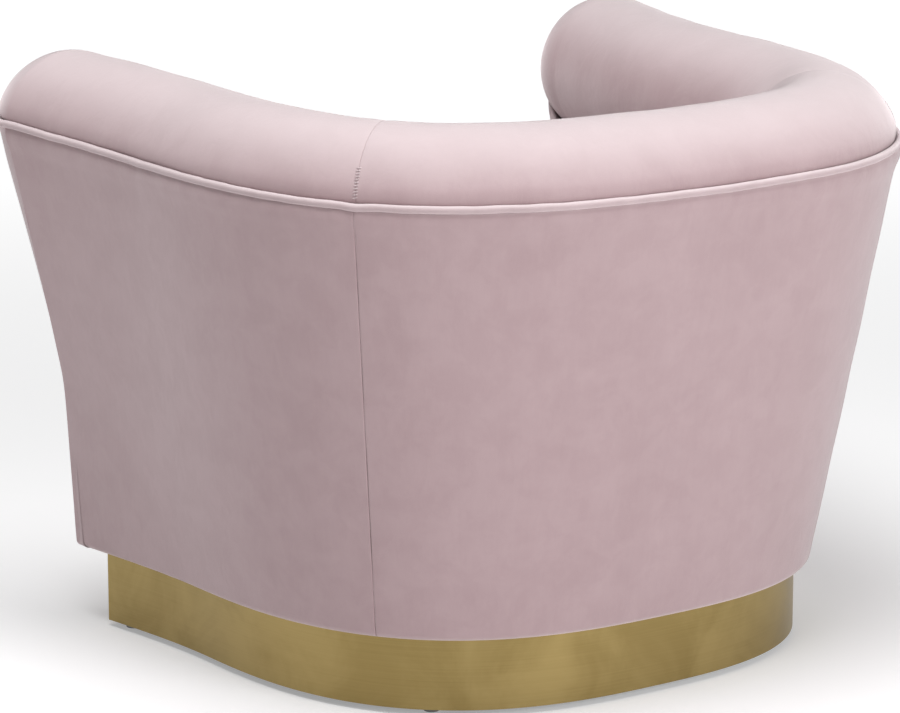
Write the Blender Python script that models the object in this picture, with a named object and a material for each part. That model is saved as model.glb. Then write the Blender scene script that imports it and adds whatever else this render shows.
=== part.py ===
"""Barrel lounge chair on a metal-clad plinth: every rigid and soft piece as its own closed solid.

Metres, +Z up. The origin is on the floor under the middle of the chair. The sitter looks along -Y
and the sitter's left arm is at +X. The tub is described by stations: station 0 is the front end of
the left arm, the stations run round the back, and the last one is the front end of the right arm.
"""

import math

import bmesh
import bpy
import numpy as np

# ---- driving sizes ----------------------------------------------------------------------------
GLIDE_HEIGHT = 0.008
GLIDE_RADIUS = 0.010
GLIDE_INSET = 0.024
GLIDE_SETBACK = 0.026
PLINTH_HEIGHT = 0.094
SIDE_LEAN = 0.111
PLINTH_SPLAY = 0.020
FRONT_LEAN = 0.0206
PLINTH_SETBACK = 0.044
PLINTH_CORNER = 0.0362
OVERHANG = 0.0185
TUB_DEPTH = 0.875
TUB_HALF_WIDTH = 0.501
ARM_SPLAY = 0.031
BACK_ROUNDNESS = 2.65
BACK_CURVE = 0.488
BACK_LEAN = 0.1056
WELT_HEIGHT = 0.648
ARM_RISE = 0.025
ARM_RISE_POWER = 2.3
ROLL_RADIUS = 0.100
ROLL_DROP = 0.016
ROLL_CUT = 0.0234
ROLL_FOOT_INSET = 0.038
WELT_RADIUS = 0.004
BREAK_HEIGHT = 0.330
PLUMB_SHARE = 0.15

# ---- thicknesses and clearances ---------------------------------------------------------------
GAP = 0.0004
BAND = 0.0012
PLINTH_BOARD = 0.018
DUST_CLOTH = 0.001
COVER = 0.003
FIBRE_PANEL = 0.003
RAIL_DEPTH = 0.055
POST_DEPTH = 0.044
POST_WIDTH = 0.045
TOP_RAIL = 0.018
RAIL_TOP = 0.255
FRONT_RAIL = 0.035
BORDER = 0.012
FACING = 0.008
SPRING_WIRE = 0.0019
DECK_CLOTH = 0.0015
DECK_PAD = 0.026
PAD_SETBACK = 0.020

# ---- seat -------------------------------------------------------------------------------------
SEAT_SIDE_SETBACK = 0.195
SEAT_SPLAY = 0.031
SEAT_BACK_SETBACK = 0.2455
SEAT_CURVE = 0.280
NECK_TUCK = 0.022
NECK_CURVE = 0.330
SEAT_ROUNDNESS = 2.4
CUSHION_CLEARANCE = 0.009
CUSHION_HEIGHT = 0.135
CUSHION_CROWN = 0.012
CUSHION_NOSE = 0.034
CUSHION_BOW = 0.022
CUSHION_EDGE = 0.012
CROWN_INSETS = (0.05, 0.11)
PIPING_INSET = 0.0032
CUSHION_CLOTH = 0.0015

# ---- heights and lines worked out from them ---------------------------------------------------
BODY_BOTTOM = GLIDE_HEIGHT + PLINTH_HEIGHT
TUB_BACK = TUB_DEPTH / 2 - WELT_RADIUS
TUB_FRONT_HALF_WIDTH = TUB_HALF_WIDTH + ARM_SPLAY
ARM_END = ROLL_RADIUS - TUB_BACK
BODY_FRONT = ARM_END - FRONT_LEAN
PLINTH_BACK = TUB_BACK - BACK_LEAN
PLINTH_FRONT = BODY_FRONT + PLINTH_SETBACK
PLINTH_HALF_WIDTH = TUB_HALF_WIDTH - SIDE_LEAN
PLINTH_FRONT_HALF_WIDTH = PLINTH_HALF_WIDTH + PLINTH_SPLAY
SEAT_HALF_WIDTH = TUB_HALF_WIDTH - SEAT_SIDE_SETBACK
SEAT_FRONT_HALF_WIDTH = SEAT_HALF_WIDTH + SEAT_SPLAY
SEAT_BACK = TUB_BACK - SEAT_BACK_SETBACK
NECK_SETBACK = 2 * ROLL_RADIUS - NECK_TUCK
PANEL_INSET = COVER + GAP
FRAME_INSET = PANEL_INSET + FIBRE_PANEL + GAP
PAD_INSET = FRAME_INSET + POST_DEPTH + GAP
RAIL_BOTTOM = BODY_BOTTOM + GAP
DECK_BOTTOM = RAIL_TOP + 2 * SPRING_WIRE + 3 * GAP
DECK_TOP = DECK_BOTTOM + DECK_CLOTH + GAP + DECK_PAD
CUSHION_BOTTOM = DECK_TOP + GAP
BORDER_TOP = DECK_TOP - GAP
ROLL_FLAT = ROLL_RADIUS - ROLL_CUT
DOME_SHARE = 0.975
DOME_RINGS = (76, 60, 44, 26)
ROLL_HALF_FOOT = ROLL_RADIUS - ROLL_FOOT_INSET
ROLL_SHOULDER_INSET = 0.014
ROLL_SHOULDER_LEAST = 0.008
ROLL_TIP = 0.006
ROLL_EDGE = 0.001
EDGE_LIFTED, FOOT_LIFTED = 0.8, 0.85
FACING_LAP = 0.012
FACING_DESCENT = (0.45, 0.5)

SIDE_STEPS, CORNER_STEPS, BACK_STEPS = 4, 4, 5
SEAM_ANGLE = math.radians(38)
SEAM = SIDE_STEPS + CORNER_STEPS
FAR_SEAM = SEAM + 2 * BACK_STEPS
LAST = FAR_SEAM + SEAM
MIDDLE = LAST / 2
FLARE_FADE = 5.0


# ---- materials --------------------------------------------------------------------------------
def material(name, colour, roughness, metallic=0.0):
    made = bpy.data.materials.new(name)
    made.use_nodes = True
    shader = made.node_tree.nodes["Principled BSDF"]
    shader.inputs["Base Color"].default_value = (*colour, 1.0)
    shader.inputs["Roughness"].default_value = roughness
    shader.inputs["Metallic"].default_value = metallic
    return made


def make_materials():
    return {
        "velvet": material("velvet", (0.56, 0.42, 0.44), 0.75),
        "gold": material("gold", (0.45, 0.34, 0.15), 0.32, 1.0),
        "plywood": material("plywood", (0.62, 0.45, 0.27), 0.6),
        "beech": material("beech", (0.66, 0.47, 0.30), 0.55),
        "fibreboard": material("fibreboard", (0.40, 0.30, 0.20), 0.85),
        "foam": material("foam", (0.80, 0.76, 0.62), 0.95),
        "wire": material("wire", (0.42, 0.42, 0.43), 0.35, 1.0),
        "bracket_steel": material("bracket_steel", (0.55, 0.55, 0.56), 0.4, 1.0),
        "cambric": material("cambric", (0.03, 0.03, 0.03), 0.9),
        "nylon": material("nylon", (0.35, 0.35, 0.36), 0.5),
    }


# ---- lines in plan ----------------------------------------------------------------------------
def station_angles():
    corner = np.linspace(0, SEAM_ANGLE, CORNER_STEPS + 1)
    back = np.linspace(SEAM_ANGLE, math.pi / 2, BACK_STEPS + 1)
    quarter = np.concatenate([corner, back[1:]])
    return np.concatenate([quarter, math.pi - quarter[-2::-1]])


class Line:
    """A line in plan from the left arm's front round the back to the right arm's front.

    The sides ease from the front half width to the half width, and the back is a superellipse."""

    def __init__(self, half_width, front_half_width, front, back, curve, roundness):
        angles = station_angles()
        start = back - curve
        power = 2 / roundness
        cosine = np.cos(angles)
        across = half_width * np.sign(cosine) * np.abs(cosine) ** power
        along = start + (back - start) * np.sin(angles) ** power
        run = np.linspace(0, 1, SIDE_STEPS + 1)[:-1]
        side_x = front_half_width + (half_width - front_half_width) * np.sin(run * math.pi / 2)
        side_y = front + (start - front) * run
        side = np.column_stack([side_x, side_y])
        self.points = np.vstack([side, np.column_stack([across, along]), side[::-1] * (-1, 1)])
        tangent = np.gradient(self.points, axis=0)
        outward = np.column_stack([tangent[:, 1], -tangent[:, 0]])
        outward[: SIDE_STEPS + 1] = (1, 0)
        outward[-SIDE_STEPS - 1 :] = (-1, 0)
        self.normals = outward / np.linalg.norm(outward, axis=1)[:, None]

    def _between(self, values, station):
        low = min(int(station), LAST - 1)
        return values[low] + (values[low + 1] - values[low]) * (station - low)

    def at(self, station, inset=0.0):
        normal = self._between(self.normals, station)
        return self._between(self.points, station) - inset * normal

    def normal(self, station):
        return self._between(self.normals, station)

    def station_at(self, y):
        """The station on the left side that lies this far back."""
        return float(np.interp(y, self.points[: SIDE_STEPS + 1, 1], range(SIDE_STEPS + 1)))


PLINTH_LINE = Line(
    PLINTH_HALF_WIDTH,
    PLINTH_FRONT_HALF_WIDTH,
    PLINTH_FRONT,
    PLINTH_BACK,
    BACK_CURVE - BACK_LEAN + PLINTH_CORNER,
    BACK_ROUNDNESS,
)
BODY_LINE = Line(
    PLINTH_HALF_WIDTH + OVERHANG,
    PLINTH_FRONT_HALF_WIDTH + OVERHANG,
    BODY_FRONT,
    PLINTH_BACK + OVERHANG,
    BACK_CURVE - BACK_LEAN + PLINTH_CORNER + OVERHANG,
    BACK_ROUNDNESS,
)
WELT_LINE = Line(
    TUB_HALF_WIDTH, TUB_FRONT_HALF_WIDTH, ARM_END, TUB_BACK, BACK_CURVE, BACK_ROUNDNESS
)
SEAT_LINE = Line(
    SEAT_HALF_WIDTH, SEAT_FRONT_HALF_WIDTH, ARM_END, SEAT_BACK, SEAT_CURVE, SEAT_ROUNDNESS
)
NECK_LINE = Line(
    TUB_HALF_WIDTH - NECK_SETBACK,
    TUB_FRONT_HALF_WIDTH - NECK_SETBACK,
    ARM_END,
    TUB_BACK - NECK_SETBACK,
    NECK_CURVE,
    SEAT_ROUNDNESS,
)


def mix(a, b, share):
    return a + (b - a) * share


def smooth(share):
    share = min(max(share, 0.0), 1.0)
    return share * share * (3 - 2 * share)


def step(station, distance):
    """The station that lies this far along the welt line."""
    low = min(int(station), LAST - 1)
    length = np.linalg.norm(WELT_LINE.points[low + 1] - WELT_LINE.points[low])
    return station + distance / length


def stations(first, last):
    """first, the whole stations between, and last."""
    inner = range(math.floor(first) + 1, math.ceil(last))
    return [first, *inner, last]


def from_middle(station):
    """0 at the middle of the back, 1 at an arm's front end."""
    return abs(station - MIDDLE) / MIDDLE


def welt_height(station):
    return WELT_HEIGHT + ARM_RISE * from_middle(station) ** ARM_RISE_POWER


def roll_height(station):
    return welt_height(station) - ROLL_DROP


def neck_height(station):
    """The plane on which the roll rests: the top of the top rail and of the inside pads."""
    return roll_height(station) - ROLL_FLAT - GAP


def flare(station, height):
    """0 at the bottom of the tub, 1 at the welt. An arm's front stays nearly plumb up to the break."""
    rise = welt_height(station) - BODY_BOTTOM
    straight = (BREAK_HEIGHT - BODY_BOTTOM) / rise
    plumb = max(0.0, 1 - min(station, LAST - station) / FLARE_FADE)
    at_break = mix(straight, PLUMB_SHARE, plumb)
    share = (height - BODY_BOTTOM) / rise
    if share < straight:
        return at_break * share / straight
    return mix(at_break, 1.0, (share - straight) / (1 - straight))


def wall_at_whole(station, height):
    return mix(BODY_LINE.at(station), WELT_LINE.at(station), flare(station, height))


def wall(station, height, inset=0.0):
    """A point of the tub's outside face, moved inwards by inset. The face is flat between stations."""
    low = min(int(station), LAST - 1)
    across = mix(wall_at_whole(low, height), wall_at_whole(low + 1, height), station - low)
    across = across - inset * WELT_LINE.normal(station)
    return (across[0], across[1], height)


def seat_wall(station, height):
    """A point of the inside face, leaning outwards from the deck to the neck under the roll."""
    share = (height - DECK_BOTTOM) / (neck_height(station) - DECK_BOTTOM)
    across = mix(SEAT_LINE.at(station), NECK_LINE.at(station), share)
    return (across[0], across[1], height)


# ---- mesh helpers -----------------------------------------------------------------------------
def finish_mesh(name, points, faces, surface):
    mesh = bpy.data.meshes.new(name)
    mesh.from_pydata([tuple(map(float, p)) for p in points], [], faces)
    work = bmesh.new()
    work.from_mesh(mesh)
    bmesh.ops.recalc_face_normals(work, faces=work.faces)
    work.to_mesh(mesh)
    work.free()
    mesh.shade_smooth()
    mesh.set_sharp_from_angle(angle=math.radians(40))
    mesh.materials.append(surface)
    made = bpy.data.objects.new(name, mesh)
    bpy.context.scene.collection.objects.link(made)
    return made


def splits_from_second(a, b, c, d):
    """Whether the face a, b, c, d is split from b to d. An upright face is split from the upper
    point of one outline to the lower point of the next, and a level one across its short way, so
    that two layers stay parallel where they twist."""
    if abs(a[2] - b[2]) > 1e-6:
        return b[2] > a[2]
    return math.dist(b, d) < math.dist(a, c)


def loft(name, rings, surface, closed=False):
    """Joins equal closed outlines in turn, with a cap on each end or, when closed, as a loop."""
    count = len(rings[0])
    points = [p for ring in rings for p in ring]
    faces = []
    for i in range(len(rings) if closed else len(rings) - 1):
        here, there = i * count, (i + 1) % len(rings) * count
        for j in range(count):
            a, b = here + j, here + (j + 1) % count
            c, d = there + (j + 1) % count, there + j
            if splits_from_second(*(points[corner] for corner in (a, b, c, d))):
                faces += [(a, b, d), (b, c, d)]
            else:
                faces += [(a, b, c), (a, c, d)]
    if not closed:
        faces.append(tuple(range(count)))
        faces.append(tuple(range(len(points) - count, len(points))))
    return finish_mesh(name, points, faces, surface)


def plate(name, outline, bottom, top, surface):
    return loft(name, [[(x, y, z) for x, y in outline] for z in (bottom, top)], surface)


def levels(bottoms, tops):
    """For each pair of end heights, the heights at which a wall piece has points: its ends, and
    the even spacing that all wall pieces share, with the break in the flare on it."""
    below = np.linspace(BODY_BOTTOM, BREAK_HEIGHT, 4)
    above = np.linspace(BREAK_HEIGHT, WELT_HEIGHT, 5)[1:]
    lowest, highest = max(bottoms) + 0.004, min(tops) - 0.004
    inner = [z for z in (*below, *above) if lowest < z < highest]
    return [[bottom, *inner, top] for bottom, top in zip(bottoms, tops)]


def wall_piece(name, first, last, outer, inner, bottom, top, surface):
    """A length of the tub's wall between two insets. bottom and top are functions of the station."""
    along = stations(first, last)
    rings = []
    for station, heights in zip(along, levels([bottom(k) for k in along], [top(k) for k in along])):
        rings.append(
            [wall(station, z, outer) for z in heights]
            + [wall(station, z, inner) for z in reversed(heights)]
        )
    return loft(name, rings, surface)


def upright(name, station, surface):
    """A post of the tub frame, standing on the seat rail and carrying the top rail."""
    ends = stations(step(station, -POST_WIDTH / 2), step(station, POST_WIDTH / 2))
    rings = []
    lowest_neck = min(neck_height(k) for k in ends)
    for z in levels([RAIL_TOP + GAP], [lowest_neck - TOP_RAIL - GAP])[0]:
        rings.append(
            [wall(k, z, FRAME_INSET + 3 * GAP) for k in ends]
            + [wall(k, z, FRAME_INSET + POST_DEPTH - 2 * GAP) for k in reversed(ends)]
        )
    return loft(name, rings, surface)


def constant(value):
    return lambda station: value


def seam_pieces():
    """The three lengths that the tub's covers, panels, pads and roll are made in."""
    return (("left", 0, SEAM), ("back", SEAM, FAR_SEAM), ("right", FAR_SEAM, LAST))


def between(first, last, front=0.0):
    """The stations of one length, short of the seams by a gap. At an arm it starts at front."""
    start = front if first == 0 else step(first, GAP)
    end = LAST - front if last == LAST else step(last, -GAP)
    return start, end


# ---- plinth -----------------------------------------------------------------------------------
def plinth_strip(name, outer, inner, bottom, top, first, last, surface):
    rings = []
    for k in stations(first, last):
        o, i = PLINTH_LINE.at(k, outer), PLINTH_LINE.at(k, inner)
        rings.append([(*o, bottom), (*o, top), (*i, top), (*i, bottom)])
    return loft(name, rings, surface)


def box(name, low, high, surface):
    outline = [(low[0], low[1]), (high[0], low[1]), (high[0], high[1]), (low[0], high[1])]
    return plate(name, outline, low[2], high[2], surface)


def make_plinth(surfaces):
    top = BODY_BOTTOM - GAP
    board_outer = BAND + GAP
    board_inner = board_outer + PLINTH_BOARD
    board_bottom = GLIDE_HEIGHT + DUST_CLOTH + 3 * GAP
    back_of_board = PLINTH_FRONT + BAND + GAP + PLINTH_BOARD
    first_board = PLINTH_LINE.station_at(back_of_board + GAP)
    plinth_strip("plinth_band_rear", 0, BAND, GLIDE_HEIGHT, top, 0, LAST, surfaces["gold"])
    for name, first, last in seam_pieces():
        start, end = between(first, last, first_board)
        plinth_strip(
            f"plinth_board_{name}",
            board_outer,
            board_inner,
            board_bottom,
            top,
            start,
            end,
            surfaces["plywood"],
        )
    half = PLINTH_LINE.at(PLINTH_LINE.station_at(back_of_board), BAND + GAP)[0]
    front = PLINTH_FRONT
    box("plinth_band_front", (-half, front, GLIDE_HEIGHT), (half, front + BAND, top), surfaces["gold"])
    box(
        "plinth_board_front",
        (-half, front + BAND + GAP, board_bottom),
        (half, back_of_board, top),
        surfaces["plywood"],
    )
    behind_band = PLINTH_LINE.station_at(PLINTH_FRONT + BAND + GAP)
    cloth = [PLINTH_LINE.at(k, BAND + GAP) for k in stations(behind_band, LAST - behind_band)]
    plate("dust_cover", cloth, GLIDE_HEIGHT + GAP, GLIDE_HEIGHT + GAP + DUST_CLOTH, surfaces["cambric"])


def make_glides(surfaces):
    places = {
        "front_left": PLINTH_LINE.at(0, GLIDE_INSET) + (0, GLIDE_SETBACK),
        "front_right": PLINTH_LINE.at(LAST, GLIDE_INSET) + (0, GLIDE_SETBACK),
        "back_left": PLINTH_LINE.at(SEAM + 1, GLIDE_INSET),
        "back_right": PLINTH_LINE.at(FAR_SEAM - 1, GLIDE_INSET),
    }
    for name, place in places.items():
        rings = []
        for z, radius in ((0, 0.8), (0.0015, 1.0), (GLIDE_HEIGHT, 1.0)):
            turn = np.linspace(0, 2 * math.pi, 16, endpoint=False)
            ring = np.column_stack([np.cos(turn), np.sin(turn)]) * GLIDE_RADIUS * radius + place
            rings.append([(x, y, z) for x, y in ring])
        loft(f"glide_{name}", rings, surfaces["nylon"])


def make_brackets(surfaces):
    """Steel angles inside the plinth: one leg on the board, one under the seat rail."""
    leg, thick, half = 0.022, 0.0025, 0.016
    inner = BAND + GAP + PLINTH_BOARD + GAP
    under = BODY_BOTTOM - GAP
    for name, k in (("left", 2.5), ("back_left", SEAM + 1.5), ("back_right", FAR_SEAM - 1.5),
                    ("right", LAST - 2.5)):
        along = PLINTH_LINE.points[int(k) + 1] - PLINTH_LINE.points[int(k)]
        along = along / np.linalg.norm(along)
        normal = np.array((along[1], -along[0]))
        corner = PLINTH_LINE.at(k, inner)
        profile = ((0, -leg), (0, 0), (leg, 0), (leg, -thick), (thick, -thick), (thick, -leg))
        rings = []
        for side in (-half, half):
            base = corner + along * side
            rings.append([(*(base - normal * a), under + b) for a, b in profile])
        loft(f"plinth_bracket_{name}", rings, surfaces["bracket_steel"])


# ---- seat frame -------------------------------------------------------------------------------
FRONT_RAIL_FRONT = BODY_FRONT + BORDER + GAP
FRONT_RAIL_BACK = FRONT_RAIL_FRONT + FRONT_RAIL


FRONT_RAIL_STATION = BODY_LINE.station_at(FRONT_RAIL_BACK + GAP)


def half_width_at(y, height):
    """The half width inside the outside covers, this far back."""
    return wall(BODY_LINE.station_at(y), height, PANEL_INSET)[0]


def across_the_front(name, front, back, bottom, top, surface):
    """A board or pad between the two side covers. Its ends lean with them."""
    low, high = half_width_at(back, bottom), half_width_at(back, top)
    outline = [(-low, bottom), (low, bottom), (high, top), (-high, top)]
    return loft(name, [[(x, y, z) for x, z in outline] for y in (front, back)], surface)


def make_seat_frame(surfaces):
    for name, first, last in seam_pieces():
        start, end = between(first, last, FRONT_RAIL_STATION)
        wall_piece(
            f"seat_rail_{name}",
            start,
            end,
            FRAME_INSET,
            FRAME_INSET + RAIL_DEPTH,
            constant(RAIL_BOTTOM),
            constant(RAIL_TOP),
            surfaces["beech"],
        )
    across_the_front(
        "seat_rail_front",
        FRONT_RAIL_FRONT,
        FRONT_RAIL_BACK,
        RAIL_BOTTOM,
        RAIL_TOP,
        surfaces["beech"],
    )
    make_corner_blocks(surfaces)


def make_corner_blocks(surfaces):
    """Glued blocks in the two front corners of the seat frame."""
    leg, height = 0.075, 0.060
    y = FRONT_RAIL_BACK + GAP
    inset = FRAME_INSET + RAIL_DEPTH + 3 * GAP
    near = wall(FRONT_RAIL_STATION, RAIL_BOTTOM, inset)[0]
    far = wall(BODY_LINE.station_at(y + leg), RAIL_BOTTOM, inset)
    for name, side in (("left", 1), ("right", -1)):
        outline = [(side * near, y), (side * far[0], far[1]), (side * (near - leg), y)]
        plate(f"corner_block_{name}", outline, RAIL_BOTTOM, RAIL_BOTTOM + height, surfaces["beech"])


def make_springs(surfaces):
    """Five sinuous springs from the front rail to the back rail."""
    count, half_width, loops, margin = 5, 0.021, 15, 0.096
    spacing = (SEAT_HALF_WIDTH - margin) / (count // 2)
    z = RAIL_TOP + SPRING_WIRE + GAP
    front = FRONT_RAIL_FRONT + 0.012
    rail = FRAME_INSET + (POST_DEPTH + RAIL_DEPTH) / 2
    line = np.array([wall(k, RAIL_TOP, rail)[:2] for k in stations(SEAM, FAR_SEAM)])
    for number in range(count):
        x = (number - (count - 1) / 2) * spacing
        back = float(np.interp(x, line[::-1, 0], line[::-1, 1]))
        pitch = (back - front) / loops
        route = [(x, front)]
        for i in range(loops):
            side = half_width if i % 2 == 0 else -half_width
            side = -side if x < 0 else side
            y = front + i * pitch
            route += [(x + side * 0.8, y + pitch * 0.22), (x + side, y + pitch * 0.5)]
            route += [(x + side * 0.8, y + pitch * 0.78)]
        route.append((x, back))
        curve = bpy.data.curves.new(f"seat_spring_{number + 1}", "CURVE")
        curve.dimensions = "3D"
        curve.bevel_depth = SPRING_WIRE
        curve.bevel_resolution = 0
        curve.use_fill_caps = True
        spline = curve.splines.new("POLY")
        spline.points.add(len(route) - 1)
        for point, (px, py) in zip(spline.points, route):
            point.co = (px, py, z, 1)
        curve.materials.append(surfaces["wire"])
        made = bpy.data.objects.new(curve.name, curve)
        bpy.context.scene.collection.objects.link(made)


def make_deck(surfaces):
    """Cloth and a foam pad over the springs, inside the pads, and the padded border in front."""
    start = SEAT_LINE.station_at(ARM_END + PAD_SETBACK)
    outline = [SEAT_LINE.at(k, 2 * GAP) for k in stations(start, LAST - start)]
    outline[0] = np.array((outline[0][0], FRONT_RAIL_FRONT))
    outline[-1] = np.array((outline[-1][0], FRONT_RAIL_FRONT))
    plate("deck_cloth", outline, DECK_BOTTOM, DECK_BOTTOM + DECK_CLOTH, surfaces["cambric"])
    pad_bottom = DECK_BOTTOM + DECK_CLOTH + GAP
    plate("deck_pad", outline, pad_bottom, DECK_TOP, surfaces["foam"])
    across_the_front(
        "front_border",
        BODY_FRONT,
        BODY_FRONT + BORDER,
        BODY_BOTTOM,
        BORDER_TOP,
        surfaces["velvet"],
    )


# ---- tub --------------------------------------------------------------------------------------
def make_tub_frame(surfaces):
    first = step(FRONT_RAIL_STATION, POST_WIDTH)
    places = {
        "arm_post_left": first,
        "arm_rib_left": SIDE_STEPS + 0.45,
        "corner_post_left": SEAM + 0.5,
        "back_rib": MIDDLE,
        "corner_post_right": FAR_SEAM - 0.5,
        "arm_rib_right": LAST - SIDE_STEPS - 0.45,
        "arm_post_right": LAST - first,
    }
    for name, station in places.items():
        upright(name, station, surfaces["beech"])
    for name, first, last in seam_pieces():
        start, end = between(first, last, FRONT_RAIL_STATION)
        wall_piece(
            f"top_rail_{name}",
            start,
            end,
            FRAME_INSET,
            FRAME_INSET + POST_DEPTH,
            lambda k: neck_height(k) - TOP_RAIL,
            neck_height,
            surfaces["plywood"],
        )


def make_tub_skins(surfaces):
    for name, first, last in seam_pieces():
        wall_piece(
            f"outside_cover_{name}",
            *between(first, last, step(0, 4 * GAP)),
            0.0,
            COVER,
            constant(BODY_BOTTOM),
            lambda k: welt_height(k) - WELT_RADIUS - GAP,
            surfaces["velvet"],
        )
        wall_piece(
            f"fibre_panel_{name}",
            *between(first, last, FRONT_RAIL_STATION),
            PANEL_INSET,
            PANEL_INSET + FIBRE_PANEL,
            constant(BODY_BOTTOM + GAP),
            neck_height,
            surfaces["fibreboard"],
        )
        make_inside_pad(name, first, last, surfaces)


def make_inside_pad(name, first, last, surfaces):
    along = stations(*between(first, last, WELT_LINE.station_at(ARM_END + PAD_SETBACK)))
    rings = []
    for k, heights in zip(along, levels([DECK_BOTTOM] * len(along), [neck_height(k) for k in along])):
        rings.append(
            [wall(k, z, PAD_INSET) for z in heights]
            + [seat_wall(k, heights[-1]), seat_wall(k, heights[0])]
        )
    loft(f"inside_pad_{name}", rings, surfaces["velvet"])


def arm_front(side, share, height, inset=0.0):
    """A point of an arm's front facing. share runs from the outside round the front to the inside."""
    turn = math.pi * share
    outward = np.array((math.cos(turn), -math.sin(turn)))
    centre = np.array((TUB_FRONT_HALF_WIDTH - ROLL_RADIUS, ARM_END))
    inner_half = centre[0] - NECK_LINE.at(0)[0]
    reach = np.array((ROLL_RADIUS if outward[0] > 0 else inner_half, ROLL_RADIUS))
    high = centre + outward * reach
    low = np.array((mix(BODY_LINE.at(0)[0], SEAT_FRONT_HALF_WIDTH, share), BODY_FRONT))
    point = mix(low, high, flare(0, height)) - outward * inset
    return (side * point[0], point[1], height)


def facing_top(share):
    """The facing's upper edge: level at the welt, then down under the roll on the inside."""
    level = welt_height(0) - WELT_RADIUS - GAP
    start, length = FACING_DESCENT
    return mix(level, neck_height(0) - FACING_LAP, smooth((share - start) / length))


def make_arm_fronts(surfaces):
    shares = np.linspace(0, 1, 11)
    for name, side in (("left", 1), ("right", -1)):
        rings = []
        tops = [facing_top(share) for share in shares]
        for share, heights in zip(shares, levels([BORDER_TOP + GAP] * len(shares), tops)):
            rings.append(
                [arm_front(side, share, z) for z in heights]
                + [arm_front(side, share, z, FACING) for z in reversed(heights)]
            )
        loft(f"arm_facing_{name}", rings, surfaces["velvet"])


def roll_section(reach):
    """The roll's outline, as (across, up) from its centre. reach is 0 on the roll and rises to 1
    at the tip of the domed end, where the outline is a slice of the ball. Below the welt the foam
    keeps inside the covers."""
    ball = ROLL_RADIUS if reach == 0 else ROLL_RADIUS * DOME_SHARE
    radius = ball * math.sqrt(1 - reach * reach)
    rim = ROLL_DROP + WELT_RADIUS + GAP
    outer = math.asin(min(rim / radius, 1.0))
    low = math.asin(-ROLL_FLAT / ROLL_RADIUS)
    inner = mix(low, outer, smooth(reach / EDGE_LIFTED))
    angles = np.linspace(outer, math.pi - inner, 11)
    arc = [(radius * math.cos(a), radius * math.sin(a)) for a in angles]
    foot = mix(-ROLL_FLAT, rim - ROLL_TIP, smooth(reach / FOOT_LIFTED))
    half_foot = mix(ROLL_HALF_FOOT, ROLL_TIP, smooth(reach))
    clear = ROLL_RADIUS - ROLL_SHOULDER_INSET
    shoulder = math.sqrt(max(clear**2 - (reach * ball) ** 2, ROLL_SHOULDER_LEAST**2))
    inner_foot = (max(-half_foot, arc[-1][0] + ROLL_EDGE), min(foot, arc[-1][1]))
    shoulder_height = mix(ROLL_TIP, rim - ROLL_EDGE * 3, reach)
    return arc + [inner_foot, (half_foot, foot), (shoulder, shoulder_height)]


def roll_ring(station, reach=0.0):
    """The roll's outline at a station, moved out from the arm's end by the reach of its dome."""
    section = roll_section(reach)
    centre = WELT_LINE.at(station, ROLL_RADIUS)
    normal = WELT_LINE.normal(station)
    ahead = np.array((0.0, -ROLL_RADIUS * DOME_SHARE * reach))
    z = roll_height(station)
    return [(*(centre + normal * a + ahead), z + b) for a, b in section]


def make_roll(surfaces):
    dome = [math.sin(math.radians(a)) for a in DOME_RINGS]
    for name, first, last in seam_pieces():
        rings = [roll_ring(k) for k in stations(*between(first, last))]
        if first == 0:
            rings = [roll_ring(0, reach) for reach in dome] + rings
        if last == LAST:
            rings = rings + [roll_ring(LAST, reach) for reach in reversed(dome)]
        loft(f"roll_{name}", rings, surfaces["velvet"])


def make_welt(surfaces):
    """The piped seam along the tub and round the front of both arms."""
    path = [(WELT_LINE.at(k), WELT_LINE.normal(k), welt_height(k)) for k in stations(0, LAST)]
    wraps = []
    for side in (1, -1):
        wrap = []
        for share in np.linspace(0.06, 0.96, 16):
            height = facing_top(share) + WELT_RADIUS + (2 + 4 * smooth(2 * share - 1)) * GAP
            x, y, z = arm_front(side, share, height)
            turn = math.pi * share
            wrap.append((np.array((x, y)), np.array((side * math.cos(turn), -math.sin(turn))), z))
        wraps.append(wrap)
    path = wraps[0][::-1] + path + wraps[1]
    turns = np.linspace(0, 2 * math.pi, 6, endpoint=False)
    rings = []
    for point, normal, z in path:
        rings.append(
            [(*(point + normal * WELT_RADIUS * math.cos(t)), z + WELT_RADIUS * math.sin(t)) for t in turns]
        )
    loft("welt", rings, surfaces["velvet"])


# ---- seat cushion -----------------------------------------------------------------------------
def cushion_outline(inset=0.0):
    """The loose cushion in plan: its sides and back follow the pads, and its front is bowed."""
    points = [SEAT_LINE.at(k, CUSHION_CLEARANCE + inset) for k in range(LAST + 1)]
    half = points[0][0]
    front = BODY_FRONT - CUSHION_NOSE + inset
    for share in np.linspace(-0.92, 0.92, 9):
        points.append(np.array((share * half, front + CUSHION_BOW * share**4)))
    return points


def cushion_ring(height, inset):
    return [(*p, height) for p in cushion_outline(inset)]


CUSHION_CORE_BOTTOM = CUSHION_BOTTOM + CUSHION_CLOTH + GAP
CUSHION_CORE_TOP = CUSHION_BOTTOM + CUSHION_HEIGHT - CUSHION_CLOTH - GAP


def crown_rings(offset):
    """The domed top, as rings from the edge inwards, raised by offset."""
    rings = []
    for inset in (CUSHION_EDGE, *CROWN_INSETS):
        lift = CUSHION_CROWN * smooth((inset - CUSHION_EDGE) / CROWN_INSETS[-1])
        rings.append(cushion_ring(CUSHION_CORE_TOP + lift + offset, inset))
    return rings


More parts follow.
